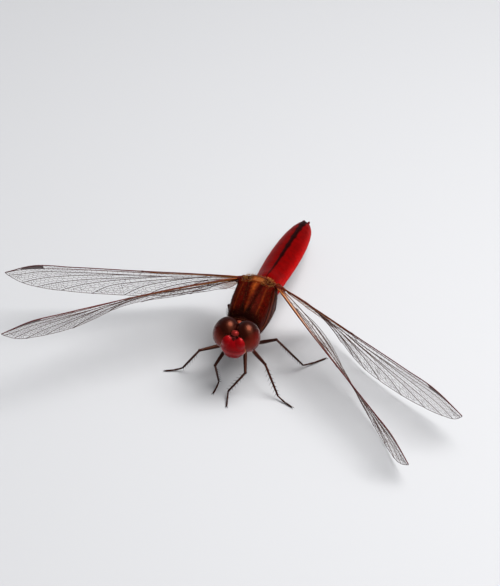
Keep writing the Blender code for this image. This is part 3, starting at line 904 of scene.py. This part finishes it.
hindWing = {
    "span": 34.7,
    "front": ((0, 0), (0.2, 0.0), (0.42, 0.15), (0.7, 0.1), (0.88, 0.4), (1.0, 2.9)),
    "rear": ((0, 3.0), (0.04, 7.2), (0.12, 9.7), (0.24, 10.4), (0.4, 9.9), (0.56, 9.1),
             (0.72, 8.2), (0.86, 6.9), (0.95, 5.1), (1.0, 2.9)),
    "nodus": 0.41,
    "spot": (0.83, 0.925),
    "amberReach": 0.13,
    "rootReach": 2.6,
    "veins": (
        ((0, 0.45), (0.2, 0.42), (0.37, 0.36), (0.41, 0.15)),
        ((0, 0.8), (0.2, 0.85), (0.41, 0.95), (0.7, 1.0), (0.84, 1.35), (0.93, 1.9), (1.0, 2.9)),
        ((0.12, 0.83), (0.16, 1.55), (0.41, 1.9), (0.7, 1.95), (0.86, 2.4), (0.95, 3.4),
         (0.985, rearEdge)),
        ((0.43, 1.9), (0.5, 2.4), (0.62, 3.0), (0.75, 3.7), (0.86, 4.7), (0.93, rearEdge)),
        ((0.33, 1.82), (0.42, 2.7), (0.55, 3.7), (0.68, 4.6), (0.79, 5.7), (0.87, rearEdge)),
        ((0.24, 1.7), (0.32, 2.7), (0.45, 4.0), (0.58, 5.2), (0.69, 6.5), (0.77, rearEdge)),
        ((0.12, 1.9), (0.2, 2.75), (0.32, 3.7), (0.45, 5.0), (0.57, 6.6), (0.64, rearEdge)),
        ((0, 1.7), (0.1, 2.6), (0.15, 3.0), (0.2, 3.65), (0.3, 5.0), (0.42, 7.0),
         (0.5, rearEdge)),
        ((0, 2.2), (0.08, 3.4), (0.15, 4.4), (0.22, 5.4), (0.3, 6.8), (0.37, 8.4),
         (0.41, rearEdge)),
        ((0.10, 3.7), (0.15, 5.4), (0.21, 7.2), (0.27, 8.8), (0.31, rearEdge)),
        ((0.05, 2.9), (0.09, 5.2), (0.14, 7.2), (0.19, 9.0), (0.22, rearEdge)),
    ),
    "struts": ((0.12, 0.83, 0.12, 1.9), (0.15, 2.3, 0.15, 3.0), (0.15, 3.0, 0.18, 2.55),
               (0.41, 0.15, 0.425, 1.9)),
}

# side, hinge on the trunk, plan, sweep forward, droop, upward bow, twist at the twist places
wings = {
    "wing_fore_left": (1, (3.1, 9.7, 3.7), foreWing, 43.8, 8.3, -0.5, (38.0, 57.0, 67.0, 76.0)),
    "wing_fore_right": (-1, (3.1, 9.7, 3.7), foreWing, 42.0, -4.2, 0.4, (50.0, 43.0, 54.0, 59.0)),
    "wing_hind_left": (1, (3.1, 11.5, 3.1), hindWing, 28.5, 3.4, 0.1, (50.0, 66.0, 70.0, 69.0)),
    "wing_hind_right": (-1, (3.1, 11.5, 3.1), hindWing, 13.7, -1.7, 0.0, (48.0, 57.0, 61.0, 64.0)),
}

wingBuild = {
    "tip": 0.997,  # share of the span where the mesh ends
    "camber": 0.35,
    "twistPlaces": (0.1, 0.4, 0.65, 0.9),  # shares of the span
    "pleat": 0.10,  # rise and fall of the veins
    "pleatGap": 0.7,  # veins closer than this share one fold
    "membraneThickness": 0.016,
    "cover": 0.10,
    "amberCover": 0.75,
    "columns": 150,
    "rows": 36,
    "cellHeight": (0.80, 0.54),  # at the base, at the tip
    "cellLength": (0.95, 0.62),
    "lowestCell": 0.16,
    "zigzag": 0.17,
    "unevenness": 0.06,
    "costaRadius": (0.095, 0.068),
    "mainRadius": (0.057, 0.039),
    "edgeRadius": 0.037,
    "crossRadius": (0.022, 0.018),
    "strutRadius": 0.045,
    "baseRadius": 0.09,
    "notchSwell": 0.045,
    "spotThickness": 0.09,
    "veinStep": 0.3,
    "longestCross": 2.2,
}


class Wing:
    # turns flat wing coordinates, share of span and mm behind the front line, into places in space
    def __init__(self, side, hinge, plan, sweep, droop, bow, twists):
        self.plan, self.bow = plan, bow
        self.twists = list(zip(wingBuild["twistPlaces"], twists))
        self.hinge = moved(np.array([side * hinge[0], hinge[1], hinge[2]]), trunk)
        sweep, droop = math.radians(sweep), math.radians(droop)
        self.outward = np.array([side * math.cos(droop) * math.cos(sweep),
                                 -math.cos(droop) * math.sin(sweep), -math.sin(droop)])
        self.rearward = np.array([side * math.sin(sweep), math.cos(sweep), 0])
        self.upward = np.cross(self.outward, self.rearward) * side
        self.shares = np.linspace(0, wingBuild["tip"], 700)
        self.front = curveThrough(plan["front"], self.shares)[:, 0]
        self.rear = curveThrough(plan["rear"], self.shares)[:, 0]
        self.veins = []
        for points in plan["veins"]:
            self.veins.append(self.veinCurve(points, self.veins[-1] if self.veins else self.front))
        self.makePleats()

    def at(self, curve, share):
        return np.interp(share, self.shares, curve)

    def veinCurve(self, points, parent):
        # it runs along its parent before its start, and along an edge after its end
        fixed = [(share, self.at(self.rear, share) if back == rearEdge else back)
                 for share, back in points]
        back = curveThrough(fixed, self.shares)[:, 0]
        toRear = points[-1][1] == rearEdge
        back = np.where(self.shares > points[-1][0], self.rear if toRear else self.front, back)
        back = np.where(self.shares < points[0][0], parent, back)
        return np.minimum(np.maximum(back, parent if toRear else self.front), self.rear)

    def makePleats(self):
        # height of the pleated membrane on a grid of share and part of the chord
        parts = np.linspace(0, 1, 90)
        self.pleats = np.zeros((len(self.shares), len(parts)))
        for k, share in enumerate(self.shares):
            known = [(self.front[k], 1.0)]
            for number, (vein, points) in enumerate(zip(self.veins, self.plan["veins"])):
                if points[0][0] <= share <= points[-1][0]:
                    fold = 1.0 if number % 2 else -1.0
                    near = min(1.0, (vein[k] - known[-1][0]) / wingBuild["pleatGap"])
                    known.append((vein[k], known[-1][1] + (fold - known[-1][1]) * near))
            near = min(1.0, (self.rear[k] - known[-1][0]) / wingBuild["pleatGap"])
            known.append((self.rear[k], known[-1][1] * (1 - near)))
            back = self.front[k] + parts * (self.rear[k] - self.front[k])
            self.pleats[k] = np.interp(back, *zip(*known))
        fade = np.interp(self.shares, (0, 0.05, 0.5, 1), (0.4, 1.0, 0.8, 0.25))
        self.pleats *= fade[:, None] * wingBuild["pleat"]

    def pleatAt(self, share, part):
        # read between the four nearest places of the grid
        lastRow, lastColumn = self.pleats.shape[0] - 1, self.pleats.shape[1] - 1
        row, column = np.clip(share / self.shares[-1] * lastRow, 0, lastRow), part * lastColumn
        r0, c0 = np.floor(row).astype(int), np.floor(column).astype(int)
        r1, c1 = np.minimum(r0 + 1, lastRow), np.minimum(c0 + 1, lastColumn)
        dr, dc = row - r0, column - c0
        near = self.pleats[r0, c0] * (1 - dr) + self.pleats[r1, c0] * dr
        return near * (1 - dc) + (self.pleats[r0, c1] * (1 - dr) + self.pleats[r1, c1] * dr) * dc

    def place(self, share, back, lift=0.0):
        share, back = np.asarray(share, float), np.asarray(back, float)
        front, rear = self.at(self.front, share), self.at(self.rear, share)
        part = np.clip((back - front) / np.maximum(rear - front, 1e-6), 0, 1)
        arch = wingBuild["camber"] * 4 * part * (1 - part) * (rear - front) / 10
        twist = np.radians(curveThrough(self.twists, share))
        chord = np.cos(twist) * self.rearward - np.sin(twist) * self.upward
        self.normal = np.cos(twist) * self.upward + np.sin(twist) * self.rearward
        bowed = self.bow * 27 / 4 * share * (1 - share) ** 2  # highest at a third of the span
        height = (arch + self.pleatAt(share, part) + lift)[..., None]
        return (self.hinge + self.outward * share[..., None] * self.plan["span"]
                + chord * back[..., None] + np.array([0, 0, 1]) * bowed[..., None]
                + self.normal * height)


def addRods(parts, wing, starts, ends, radii, tints):
    # many straight four-sided rods between (share, back) points
    a, b = wing.place(starts[:, 0], starts[:, 1]), wing.place(ends[:, 0], ends[:, 1])
    along = unit(b - a)
    across = unit(np.cross(along, wing.normal))
    normal = np.cross(across, along)
    radii = np.broadcast_to(np.asarray(radii, float), (len(a),))[:, None]
    corners = [normal * radii, across * radii, -normal * radii, -across * radii]
    points = np.stack([end + corner for end in (a, b) for corner in corners], 1)
    base = np.arange(len(a))[:, None, None] * 8
    faces = np.array([(0, 1, 5, 4), (1, 2, 6, 5), (2, 3, 7, 6), (3, 0, 4, 7), (3, 2, 1, 0), (4, 5, 6, 7)])
    parts.add(points, (faces + base).reshape(-1, 4).tolist(), np.repeat(tints, 8, axis=0))


def addVein(parts, wing, share, back, radii, sides, tints):
    path = wing.place(share, back)
    radii = np.broadcast_to(np.asarray(radii, float), (len(path),))
    points, faces = tubeAlong(path, radii, sides, wing.normal[len(wing.normal) // 2])
    rows = np.concatenate([tints[:1], tints, tints[-1:]])
    parts.add(points, faces, np.repeat(rows, sides, axis=0))


def fillStrip(wing, upper, lower, shares, links):
    # cells between two veins: one row of cross veins, or rows joined by zigzag lines
    span = wing.plan["span"]
    middle = (upper + lower) / 2
    slope = np.gradient(middle, shares * span)
    length = np.concatenate([[0], np.cumsum(np.hypot(np.diff(shares * span), np.diff(middle)))])
    height = (lower - upper) / np.sqrt(1 + slope**2)

    def spot(at, part):
        # the place on a line square to the strip, at a part of the way from vein to vein
        share, mid, lean = [np.interp(at, length, curve) for curve in (shares, middle, slope)]
        across = np.array([-lean, 1]) / math.sqrt(1 + lean * lean)
        ends = []
        for edge in (upper, lower):
            reach = 0.0
            for _ in range(3):
                moving = share + across[0] * reach / span
                reach = (float(np.interp(moving, shares, edge)) - mid) / across[1]
            ends.append((share + across[0] * reach / span, mid + across[1] * reach))
        (s0, b0), (s1, b1) = ends
        return s0 + (s1 - s0) * part, b0 + (b1 - b0) * part

    def join(a, b):
        apart = math.hypot((a[0] - b[0]) * span, a[1] - b[1])
        if min(a[0], b[0]) > 0 and apart < wingBuild["longestCross"]:
            links.append((a, b))

    before, at, j = [], 0.0, 0
    while True:
        share = np.interp(at, length, shares)
        at += taper(wingBuild["cellLength"], share) / 2 * dice.uniform(0.9, 1.1)
        j += 1
        if at >= length[-1]:
            return
        tall = np.interp(at, length, height)
        if tall < wingBuild["lowestCell"]:
            before = []
            continue
        rows = max(1, round(tall / float(taper(wingBuild["cellHeight"], share))))
        now = []
        for k in range(rows + 1):
            swing = 0
            if k not in (0, rows):
                uneven = dice.uniform(-wingBuild["unevenness"], wingBuild["unevenness"])
                swing = wingBuild["zigzag"] * (-1) ** (j + k) + uneven
            now.append(spot(at, (k + swing) / rows))
        changed = len(before) != len(now)
        if before:
            ahead, behind = (now, before) if len(now) >= len(before) else (before, now)
            for k in range(1, len(ahead) - 1):
                match = round(k * (len(behind) - 1) / (len(ahead) - 1))
                join(behind[match], ahead[k])
        for k in range(rows):
            if (j + k) % 2 == 0 or (changed and rows > 1):
                join(now[k], now[k + 1])
        before = now


def wingStrips(wing, narrowest=0.12, highestStep=0.25, fewest=8):
    # the stretches over which two neighbouring veins stand apart, split where one of them jumps
    curves = [wing.front, *wing.veins, wing.rear]
    count = len(wing.shares)
    for upper, lower in zip(curves, curves[1:]):
        apart = lower - upper > narrowest
        steps = np.maximum(np.abs(np.diff(upper)), np.abs(np.diff(lower)))
        jump = np.concatenate([[True], steps > highestStep])
        start = None
        for k in range(count + 1):
            if start is not None and (k == count or not apart[k] or jump[k]):
                if k - start > fewest:
                    yield upper[start:k], lower[start:k], wing.shares[start:k]
                start = None
            if k < count and apart[k] and start is None:
                start = k


def crossVeins(wing):
    # the ends of them all, but for those under the spot
    links = []
    for upper, lower, stretch in wingStrips(wing):
        fillStrip(wing, upper, lower, stretch, links)
    starts, ends = [np.array(column) for column in zip(*links)]
    spotStart, spotEnd = wing.plan["spot"]
    onSpot = (starts[:, 0] > spotStart) & (starts[:, 0] < spotEnd)
    onSpot &= starts[:, 1] < wing.at(wing.front, starts[:, 0]) + 0.5
    return starts[~onSpot], ends[~onSpot]


def buildVeins(wing, name):
    plan, tip = wing.plan, wing.shares[-1]
    nodus, parts = plan["nodus"], Parts()

    def veinTint(share):
        return paint("veinBase", ("vein", share / plan["amberReach"]))

    # front edge: gold at its base, darker beyond the notch, where it swells
    share = np.linspace(0, tip, 130)
    radii = taper(wingBuild["costaRadius"], share ** 0.8)
    radii += wingBuild["notchSwell"] * bump(share - nodus, 0.006)
    tints = paint("veinBase", ("costa", share / 0.08), ("costaTip", (share - nodus - 0.02) / 0.05),
                  ("vein", 0.8 * bump(share - nodus, 0.008)))
    addVein(parts, wing, share, wing.at(wing.front, share), radii, 8, tints)
    # long veins, then the rear edge with the tip, and the base
    for number, (vein, points) in enumerate(zip(wing.veins, plan["veins"])):
        start, end = points[0][0], min(points[-1][0], tip)
        count = max(8, int((end - start) * plan["span"] / wingBuild["veinStep"]))
        share = np.linspace(start, end, count)
        radii = taper(wingBuild["mainRadius"], share) * (1.2 if number < 2 else 1.0)
        tints = veinTint(share)
        if number == 0:
            tints = paint("goldVein", ("costa", share / nodus - 0.4))
        if number == 1:
            tints = paint("costa", ("vein", share - 0.4))
        addVein(parts, wing, share, wing.at(vein, share), radii, 6, tints)
    share = np.linspace(0, tip, 110)
    back = np.concatenate([wing.at(wing.rear, share), np.linspace(wing.rear[-1], wing.front[-1], 5)])
    share = np.concatenate([share, np.full(5, tip)])
    addVein(parts, wing, share, back, wingBuild["edgeRadius"], 5, veinTint(share))
    share = np.full(6, 0.002)
    back = np.linspace(wing.front[0], wing.rear[0], 6)
    addVein(parts, wing, share, back, wingBuild["baseRadius"], 6, veinTint(share))
    # cross veins and struts
    starts, ends = crossVeins(wing)
    radii = taper(wingBuild["crossRadius"], starts[:, 0])
    addRods(parts, wing, starts, ends, radii, veinTint(starts[:, 0]))
    struts = np.array(plan["struts"])
    addRods(parts, wing, struts[:, :2], struts[:, 2:], wingBuild["strutRadius"], veinTint(struts[:, 0]))
    # spot: a thick cell between the front edge and the second long vein
    share = np.linspace(*plan["spot"], 24)
    front, behind = wing.at(wing.front, share), wing.at(wing.veins[1], share)
    half = wingBuild["spotThickness"] / 2
    sheets = [np.stack([wing.place(share, front + (behind - front) * part, lift)
                        for part in (0, 0.33, 0.67, 1)], 1) for lift in (half, -half)]
    points, faces = slab(*sheets)
    parts.add(points, faces, finish=1)
    net = parts.make(name + "Veins", [veinFinish, spotFinish])
    return len(starts)


def membraneFinish():
    material, shader = newFinish("membraneFinish", 0.12, specular=1.0)
    tree = material.node_tree
    tint = addNode(tree, "ShaderNodeAttribute", attribute_name="tint")
    clear = addNode(tree, "ShaderNodeAttribute", attribute_name="cover")
    joinNodes(tree, (tint, "Color", shader, "Base Color"), (clear, "Fac", shader, "Alpha"))
    shader.inputs["IOR"].default_value = 1.5
    return material


def buildWing(node, clearFinish):
    wing = Wing(*wings[node])
    name = pieceName(node)
    crossed = buildVeins(wing, name)
    share = np.sin(np.linspace(0, 1, wingBuild["columns"]) * np.pi / 2) * wingBuild["tip"]
    share = share[:, None]
    front, rear = wing.at(wing.front, share), wing.at(wing.rear, share)
    part = np.linspace(0, 1, wingBuild["rows"])
    back = front + (rear - front) * part
    across = np.broadcast_to(share, back.shape)
    half = wingBuild["membraneThickness"] / 2
    points, faces = slab(*[wing.place(across, back, lift) for lift in (half, -half)])
    # amber at the base and along the front edge
    amber = np.clip(1.15 - across / wing.plan["amberReach"] - 0.4 * part, 0, 1) ** 0.8
    streak = 0.95 * bump(back - front - 0.42, 0.32) * np.clip(1.3 - across / wing.plan["nodus"], 0, 1)
    amber = np.tile(np.maximum(amber, streak).ravel(), 2)
    sheet = Parts()
    sheet.add(points, faces, paint("membrane", ("amber", amber)))
    film = sheet.make(name + "Membrane", [clearFinish])
    cover = film.data.attributes.new("cover", "FLOAT", "POINT")
    cover.data.foreach_set("value", wingBuild["cover"] + wingBuild["amberCover"] * amber)
    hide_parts(node)
    print(name, "made:", crossed, "cross veins")
    return wing


# place behind the front line and radius of the three knuckles under a wing's base
knuckles = ((0.12, 0.24), (0.62, 0.19), (1.15, 0.17))


def addWingRoot(parts, wing):
    # small plates that carry the wing
    share = np.linspace(0, 1, 10)

    def plate(start, end, radii, sides, upward, tint):
        points, faces = tubeAlong(start + (end - start) * share[:, None], radii, sides, upward)
        parts.add(points, faces, tint, 1)

    inward = -wing.outward * 0.55
    start = wing.place(0.0, 0.15) + inward
    end = wing.place(0.0, wing.plan["rootReach"]) + inward * 1.3
    tint = paint("thorax", ("thoraxStreak", np.array(0.2)))
    plate(start, end, 0.36 - 0.16 * share, 14, wing.outward, tint)
    tint = paint("thorax", ("costa", np.array(0.7)))
    for back, radius in knuckles:
        root, tip = wing.place(0.0, back) + inward * 1.2, wing.place(0.022, back * 1.05)
        plate(root, tip, taper((radius, 0.08), share), 10, (0, 0, 1), tint)


# Hairs.

hairs = {
    "thorax": {"count": 3600, "length": (0.10, 0.26), "radius": 0.005, "perTuft": 3},
    "back": {"count": 620, "length": (0.12, 0.42), "radius": 0.005, "perTuft": 4},
    "head": {"count": 160, "length": (0.10, 0.24), "radius": 0.005, "perTuft": 3},
}


def growTufts(name, roots, normals, base, maps, dullness):
    # thin curved spikes, several from one root, on the trunk or the head
    style, turnMatrix = hairs[name], np.array(base.to_3x3())
    lies = np.broadcast_to(turnMatrix @ (0, 1, 0), roots.shape)
    roots, normals = moved(roots, base), normals @ turnMatrix.T
    roots, normals, lies, maps = [np.repeat(rows, style["perTuft"], axis=0)
                                  for rows in (roots, normals, lies, maps)]
    count = len(roots)
    half = dice.uniform(*style["length"], (count, 1)) / 2
    way = normals + lies * dice.uniform(0.6, 1.5, (count, 1)) + dice.normal(0, 0.22, (count, 3))
    way = unit(way)
    start = roots - normals * 0.02 + dice.normal(0, 0.025, (count, 3))
    middle = start + way * half
    tip = middle + unit(way + lies * 0.6) * half
    aside = unit(np.cross(way, dice.normal(0, 1, (count, 3)))) * style["radius"]
    other = np.cross(way, aside)
    corners = [aside, 0.87 * other - 0.5 * aside, -0.87 * other - 0.5 * aside]
    points = [start + corner for corner in corners] + [middle + 0.7 * corner for corner in corners]
    points = np.stack([*points, tip], 1)
    first = np.arange(count)[:, None, None] * 7
    quads = np.array([(0, 1, 4, 3), (1, 2, 5, 4), (2, 0, 3, 5)]) + first
    threes = np.array([(3, 4, 6), (4, 5, 6), (5, 3, 6), (2, 1, 0)]) + first
    faces = quads.reshape(-1, 4).tolist() + threes.reshape(-1, 3).tolist()
    spread = 0.0015 * np.array([(-1, -1), (1, -1), (0, 1), (-1, 0), (1, 0), (0, 1), (0, 0)])
    parts = Parts()
    tint = paint("hairGold", ("hairDark", np.array(dullness)))
    parts.add(points, faces, tint, 0, (maps[:, None] + spread).reshape(-1, 2))
    return parts.make("hair" + name.title(), [hairFinish], hasMap=True)


def buildHairs():
    rows, turn = thoraxGrid()
    normals = surfaceNormals(rows)
    behind = rows[:, 0, 1]
    for name, dullness in (("thorax", 0.8), ("back", 0.0)):
        count = hairs[name]["count"]
        ring = dice.integers(4, rows.shape[0] - 4, count)
        if name == "back":  # only between the wings, near the middle
            ring = dice.choice(np.where((behind > 8.8) & (behind < 12.9))[0], count)
        around = dice.integers(0, rows.shape[1], count)
        if name == "back":
            around = (dice.normal(0, 14, count).astype(int)) % rows.shape[1]
        maps = np.column_stack([around / rows.shape[1], ring / rows.shape[0]]) * 0.96 + 0.02
        piece = growTufts(name, rows[ring, around], normals[ring, around], trunk, maps, dullness)
    # head: a short fringe behind the eyes
    count = hairs["head"]["count"]
    angle = dice.uniform(0, np.pi, count)
    across, upward = np.cos(angle), np.sin(angle)
    behind = 1.55 + dice.normal(0, 0.08, count)
    fringe = np.column_stack([2.5 * across, behind, 0.1 + 1.9 * upward])
    outward = unit(np.column_stack([across, np.full(count, 0.9), upward]))
    maps = np.column_stack([angle / np.pi * 0.9 + 0.05, np.full(count, 0.8)])
    piece = growTufts("head", fringe, outward, head, maps, 0.9)
    print("hairs made")


# Feelers and simple eyes.

feelers = {
    "foot": (0.55, -1.95, 1.02),
    "tip": (1.25, -3.55, 2.1),
    # share of the length, then radius
    "radii": ((0, 0.06), (0.12, 0.045), (0.22, 0.018), (0.6, 0.013), (1, 0.006)),
    "bow": (0.04, 0.0, 0.04),
}

# centre and size
ocelli = (((0.0, -2.12, 1.05), 0.22), ((0.50, -1.88, 1.20), 0.20), ((-0.50, -1.88, 1.20), 0.20))


def buildFeelers():
    share = np.linspace(0, 1, 16)
    for label, side in bothSides:
        foot, tip, bow = [np.array(feelers[key]) * (side, 1, 1) for key in ("foot", "tip", "bow")]
        path = foot + (tip - foot) * share[:, None] + np.outer(np.sin(share * np.pi), bow)
        points, faces = tubeAlong(path, curveThrough(feelers["radii"], share)[:, 0], 8)
        parts = Parts()
        parts.add(moved(points, head), faces, colours["claw"])
        piece = parts.make("feeler" + label, [legFinish])
        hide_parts("antenna_" + label.lower())
    parts = Parts()
    for centre, size in ocelli:
        points, faces = shapeArrays(ellipsoid((size, size, size), centre, None, 12, 18))
        parts.add(moved(points, head), faces)
    piece = parts.make("ocelli", [ocellusFinish])
    print("feelers and ocelli made")


# Build everything.

buildEyes()
skin = Parts()
buildFace(skin)
buildThorax(skin)
tail = buildAbdomen(skin)
for _, side in bothSides:
    addClasper(skin, "upper", side, tail)
addClasper(skin, "lower", 1, tail)
clearFinish = membraneFinish()
for node in wings:
    addWingRoot(skin, buildWing(node, clearFinish))
bodySkin = skin.make("bodySkin", [faceFinish, thoraxFinish, abdomenFinish])
fleshNodes = ["frons", "clypeus", "labrum", "labium", "vertex", "occiput", "prothorax", "thorax"]
fleshNodes += [f"abdomen_{number}" for number in range(1, 11)]
fleshNodes += ["cercus_left", "cercus_right", "epiproct"]
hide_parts(*fleshNodes)
for pair in ("fore", "mid", "hind"):
    for label, _ in bothSides:
        buildLeg(f"leg_{pair}_{label.lower()}")
print("legs made")
buildFeelers()
buildHairs()


# Floor, light and camera.

studio = {
    "floor": (0.50, 0.50, 0.51),
    "floorSize": 4000,
    "sky": (0.90, 0.94, 1.0),
    "skyStrength": 0.25,
    # place, size and power
    "key": ((120, 30, 290), 230, 1.2),
    "fill": ((260, -120, 200), 380, 0.25),
    "wash": 1.1,  # an even light from the key's side, over the whole floor
    "washAngle": 75,
}

camera = {
    "elevation": 36.0,
    "azimuth": 17.0,
    "distance": 330.0,
    "lens": 143.1,
    "sensor": 36.0,
    "right": 1.90,  # from the head to the view's middle, across and up the view
    "up": 6.13,
    "nearest": 10,
    "farthest": 10000,
}


def addLight(name, place, size, power):
    light = bpy.data.lights.new(name, "AREA")
    light.shape = "DISK"
    light.size = size * mm
    light.energy = power
    lamp = newObject(name, light)
    lamp.location = Vector(place) * mm
    lamp.rotation_euler = (-Vector(place)).to_track_quat("-Z", "Y").to_euler()
    lamp.visible_camera = False
    return lamp


def buildStudio():
    world = bpy.data.worlds.new("studio")
    world.use_nodes = True
    background = world.node_tree.nodes["Background"]
    background.inputs["Color"].default_value = (*studio["sky"], 1)
    background.inputs["Strength"].default_value = studio["skyStrength"]
    bpy.context.scene.world = world
    half = studio["floorSize"] * mm / 2
    corners = [(-half, -half, 0), (half, -half, 0), (half, half, 0), (-half, half, 0)]
    floorMesh = bpy.data.meshes.new("floor")
    floorMesh.from_pydata(corners, [], [(0, 1, 2, 3)])
    floorMesh.materials.append(plainFinish("floorFinish", studio["floor"], 0.8))
    floor = newObject("floor", floorMesh)
    key = addLight("key", *studio["key"])
    addLight("fill", *studio["fill"])
    sun = bpy.data.lights.new("wash", "SUN")
    sun.energy = studio["wash"]
    sun.angle = math.radians(studio["washAngle"])
    wash = newObject("wash", sun)
    wash.rotation_euler = key.rotation_euler


def buildCamera():
    tilt, turn = math.radians(camera["elevation"]), math.radians(camera["azimuth"])
    right = np.array([math.cos(turn), math.sin(turn), 0])
    ahead = np.array([-math.cos(tilt) * math.sin(turn), math.cos(tilt) * math.cos(turn),
                      -math.sin(tilt)])
    aim = headCentre + right * camera["right"] + np.cross(right, ahead) * camera["up"]
    data = bpy.data.cameras.new("camera")
    data.lens = camera["lens"]
    data.sensor_width = camera["sensor"]
    data.clip_start, data.clip_end = camera["nearest"] * mm, camera["farthest"] * mm
    eye = newObject("camera", data)
    eye.location = Vector(aim - ahead * camera["distance"]) * mm
    eye.rotation_euler = Vector(ahead).to_track_quat("-Z", "Y").to_euler()
    bpy.context.scene.camera = eye


buildStudio()
buildCamera()
bpy.context.scene.view_settings.view_transform = "Standard"
print("studio made")
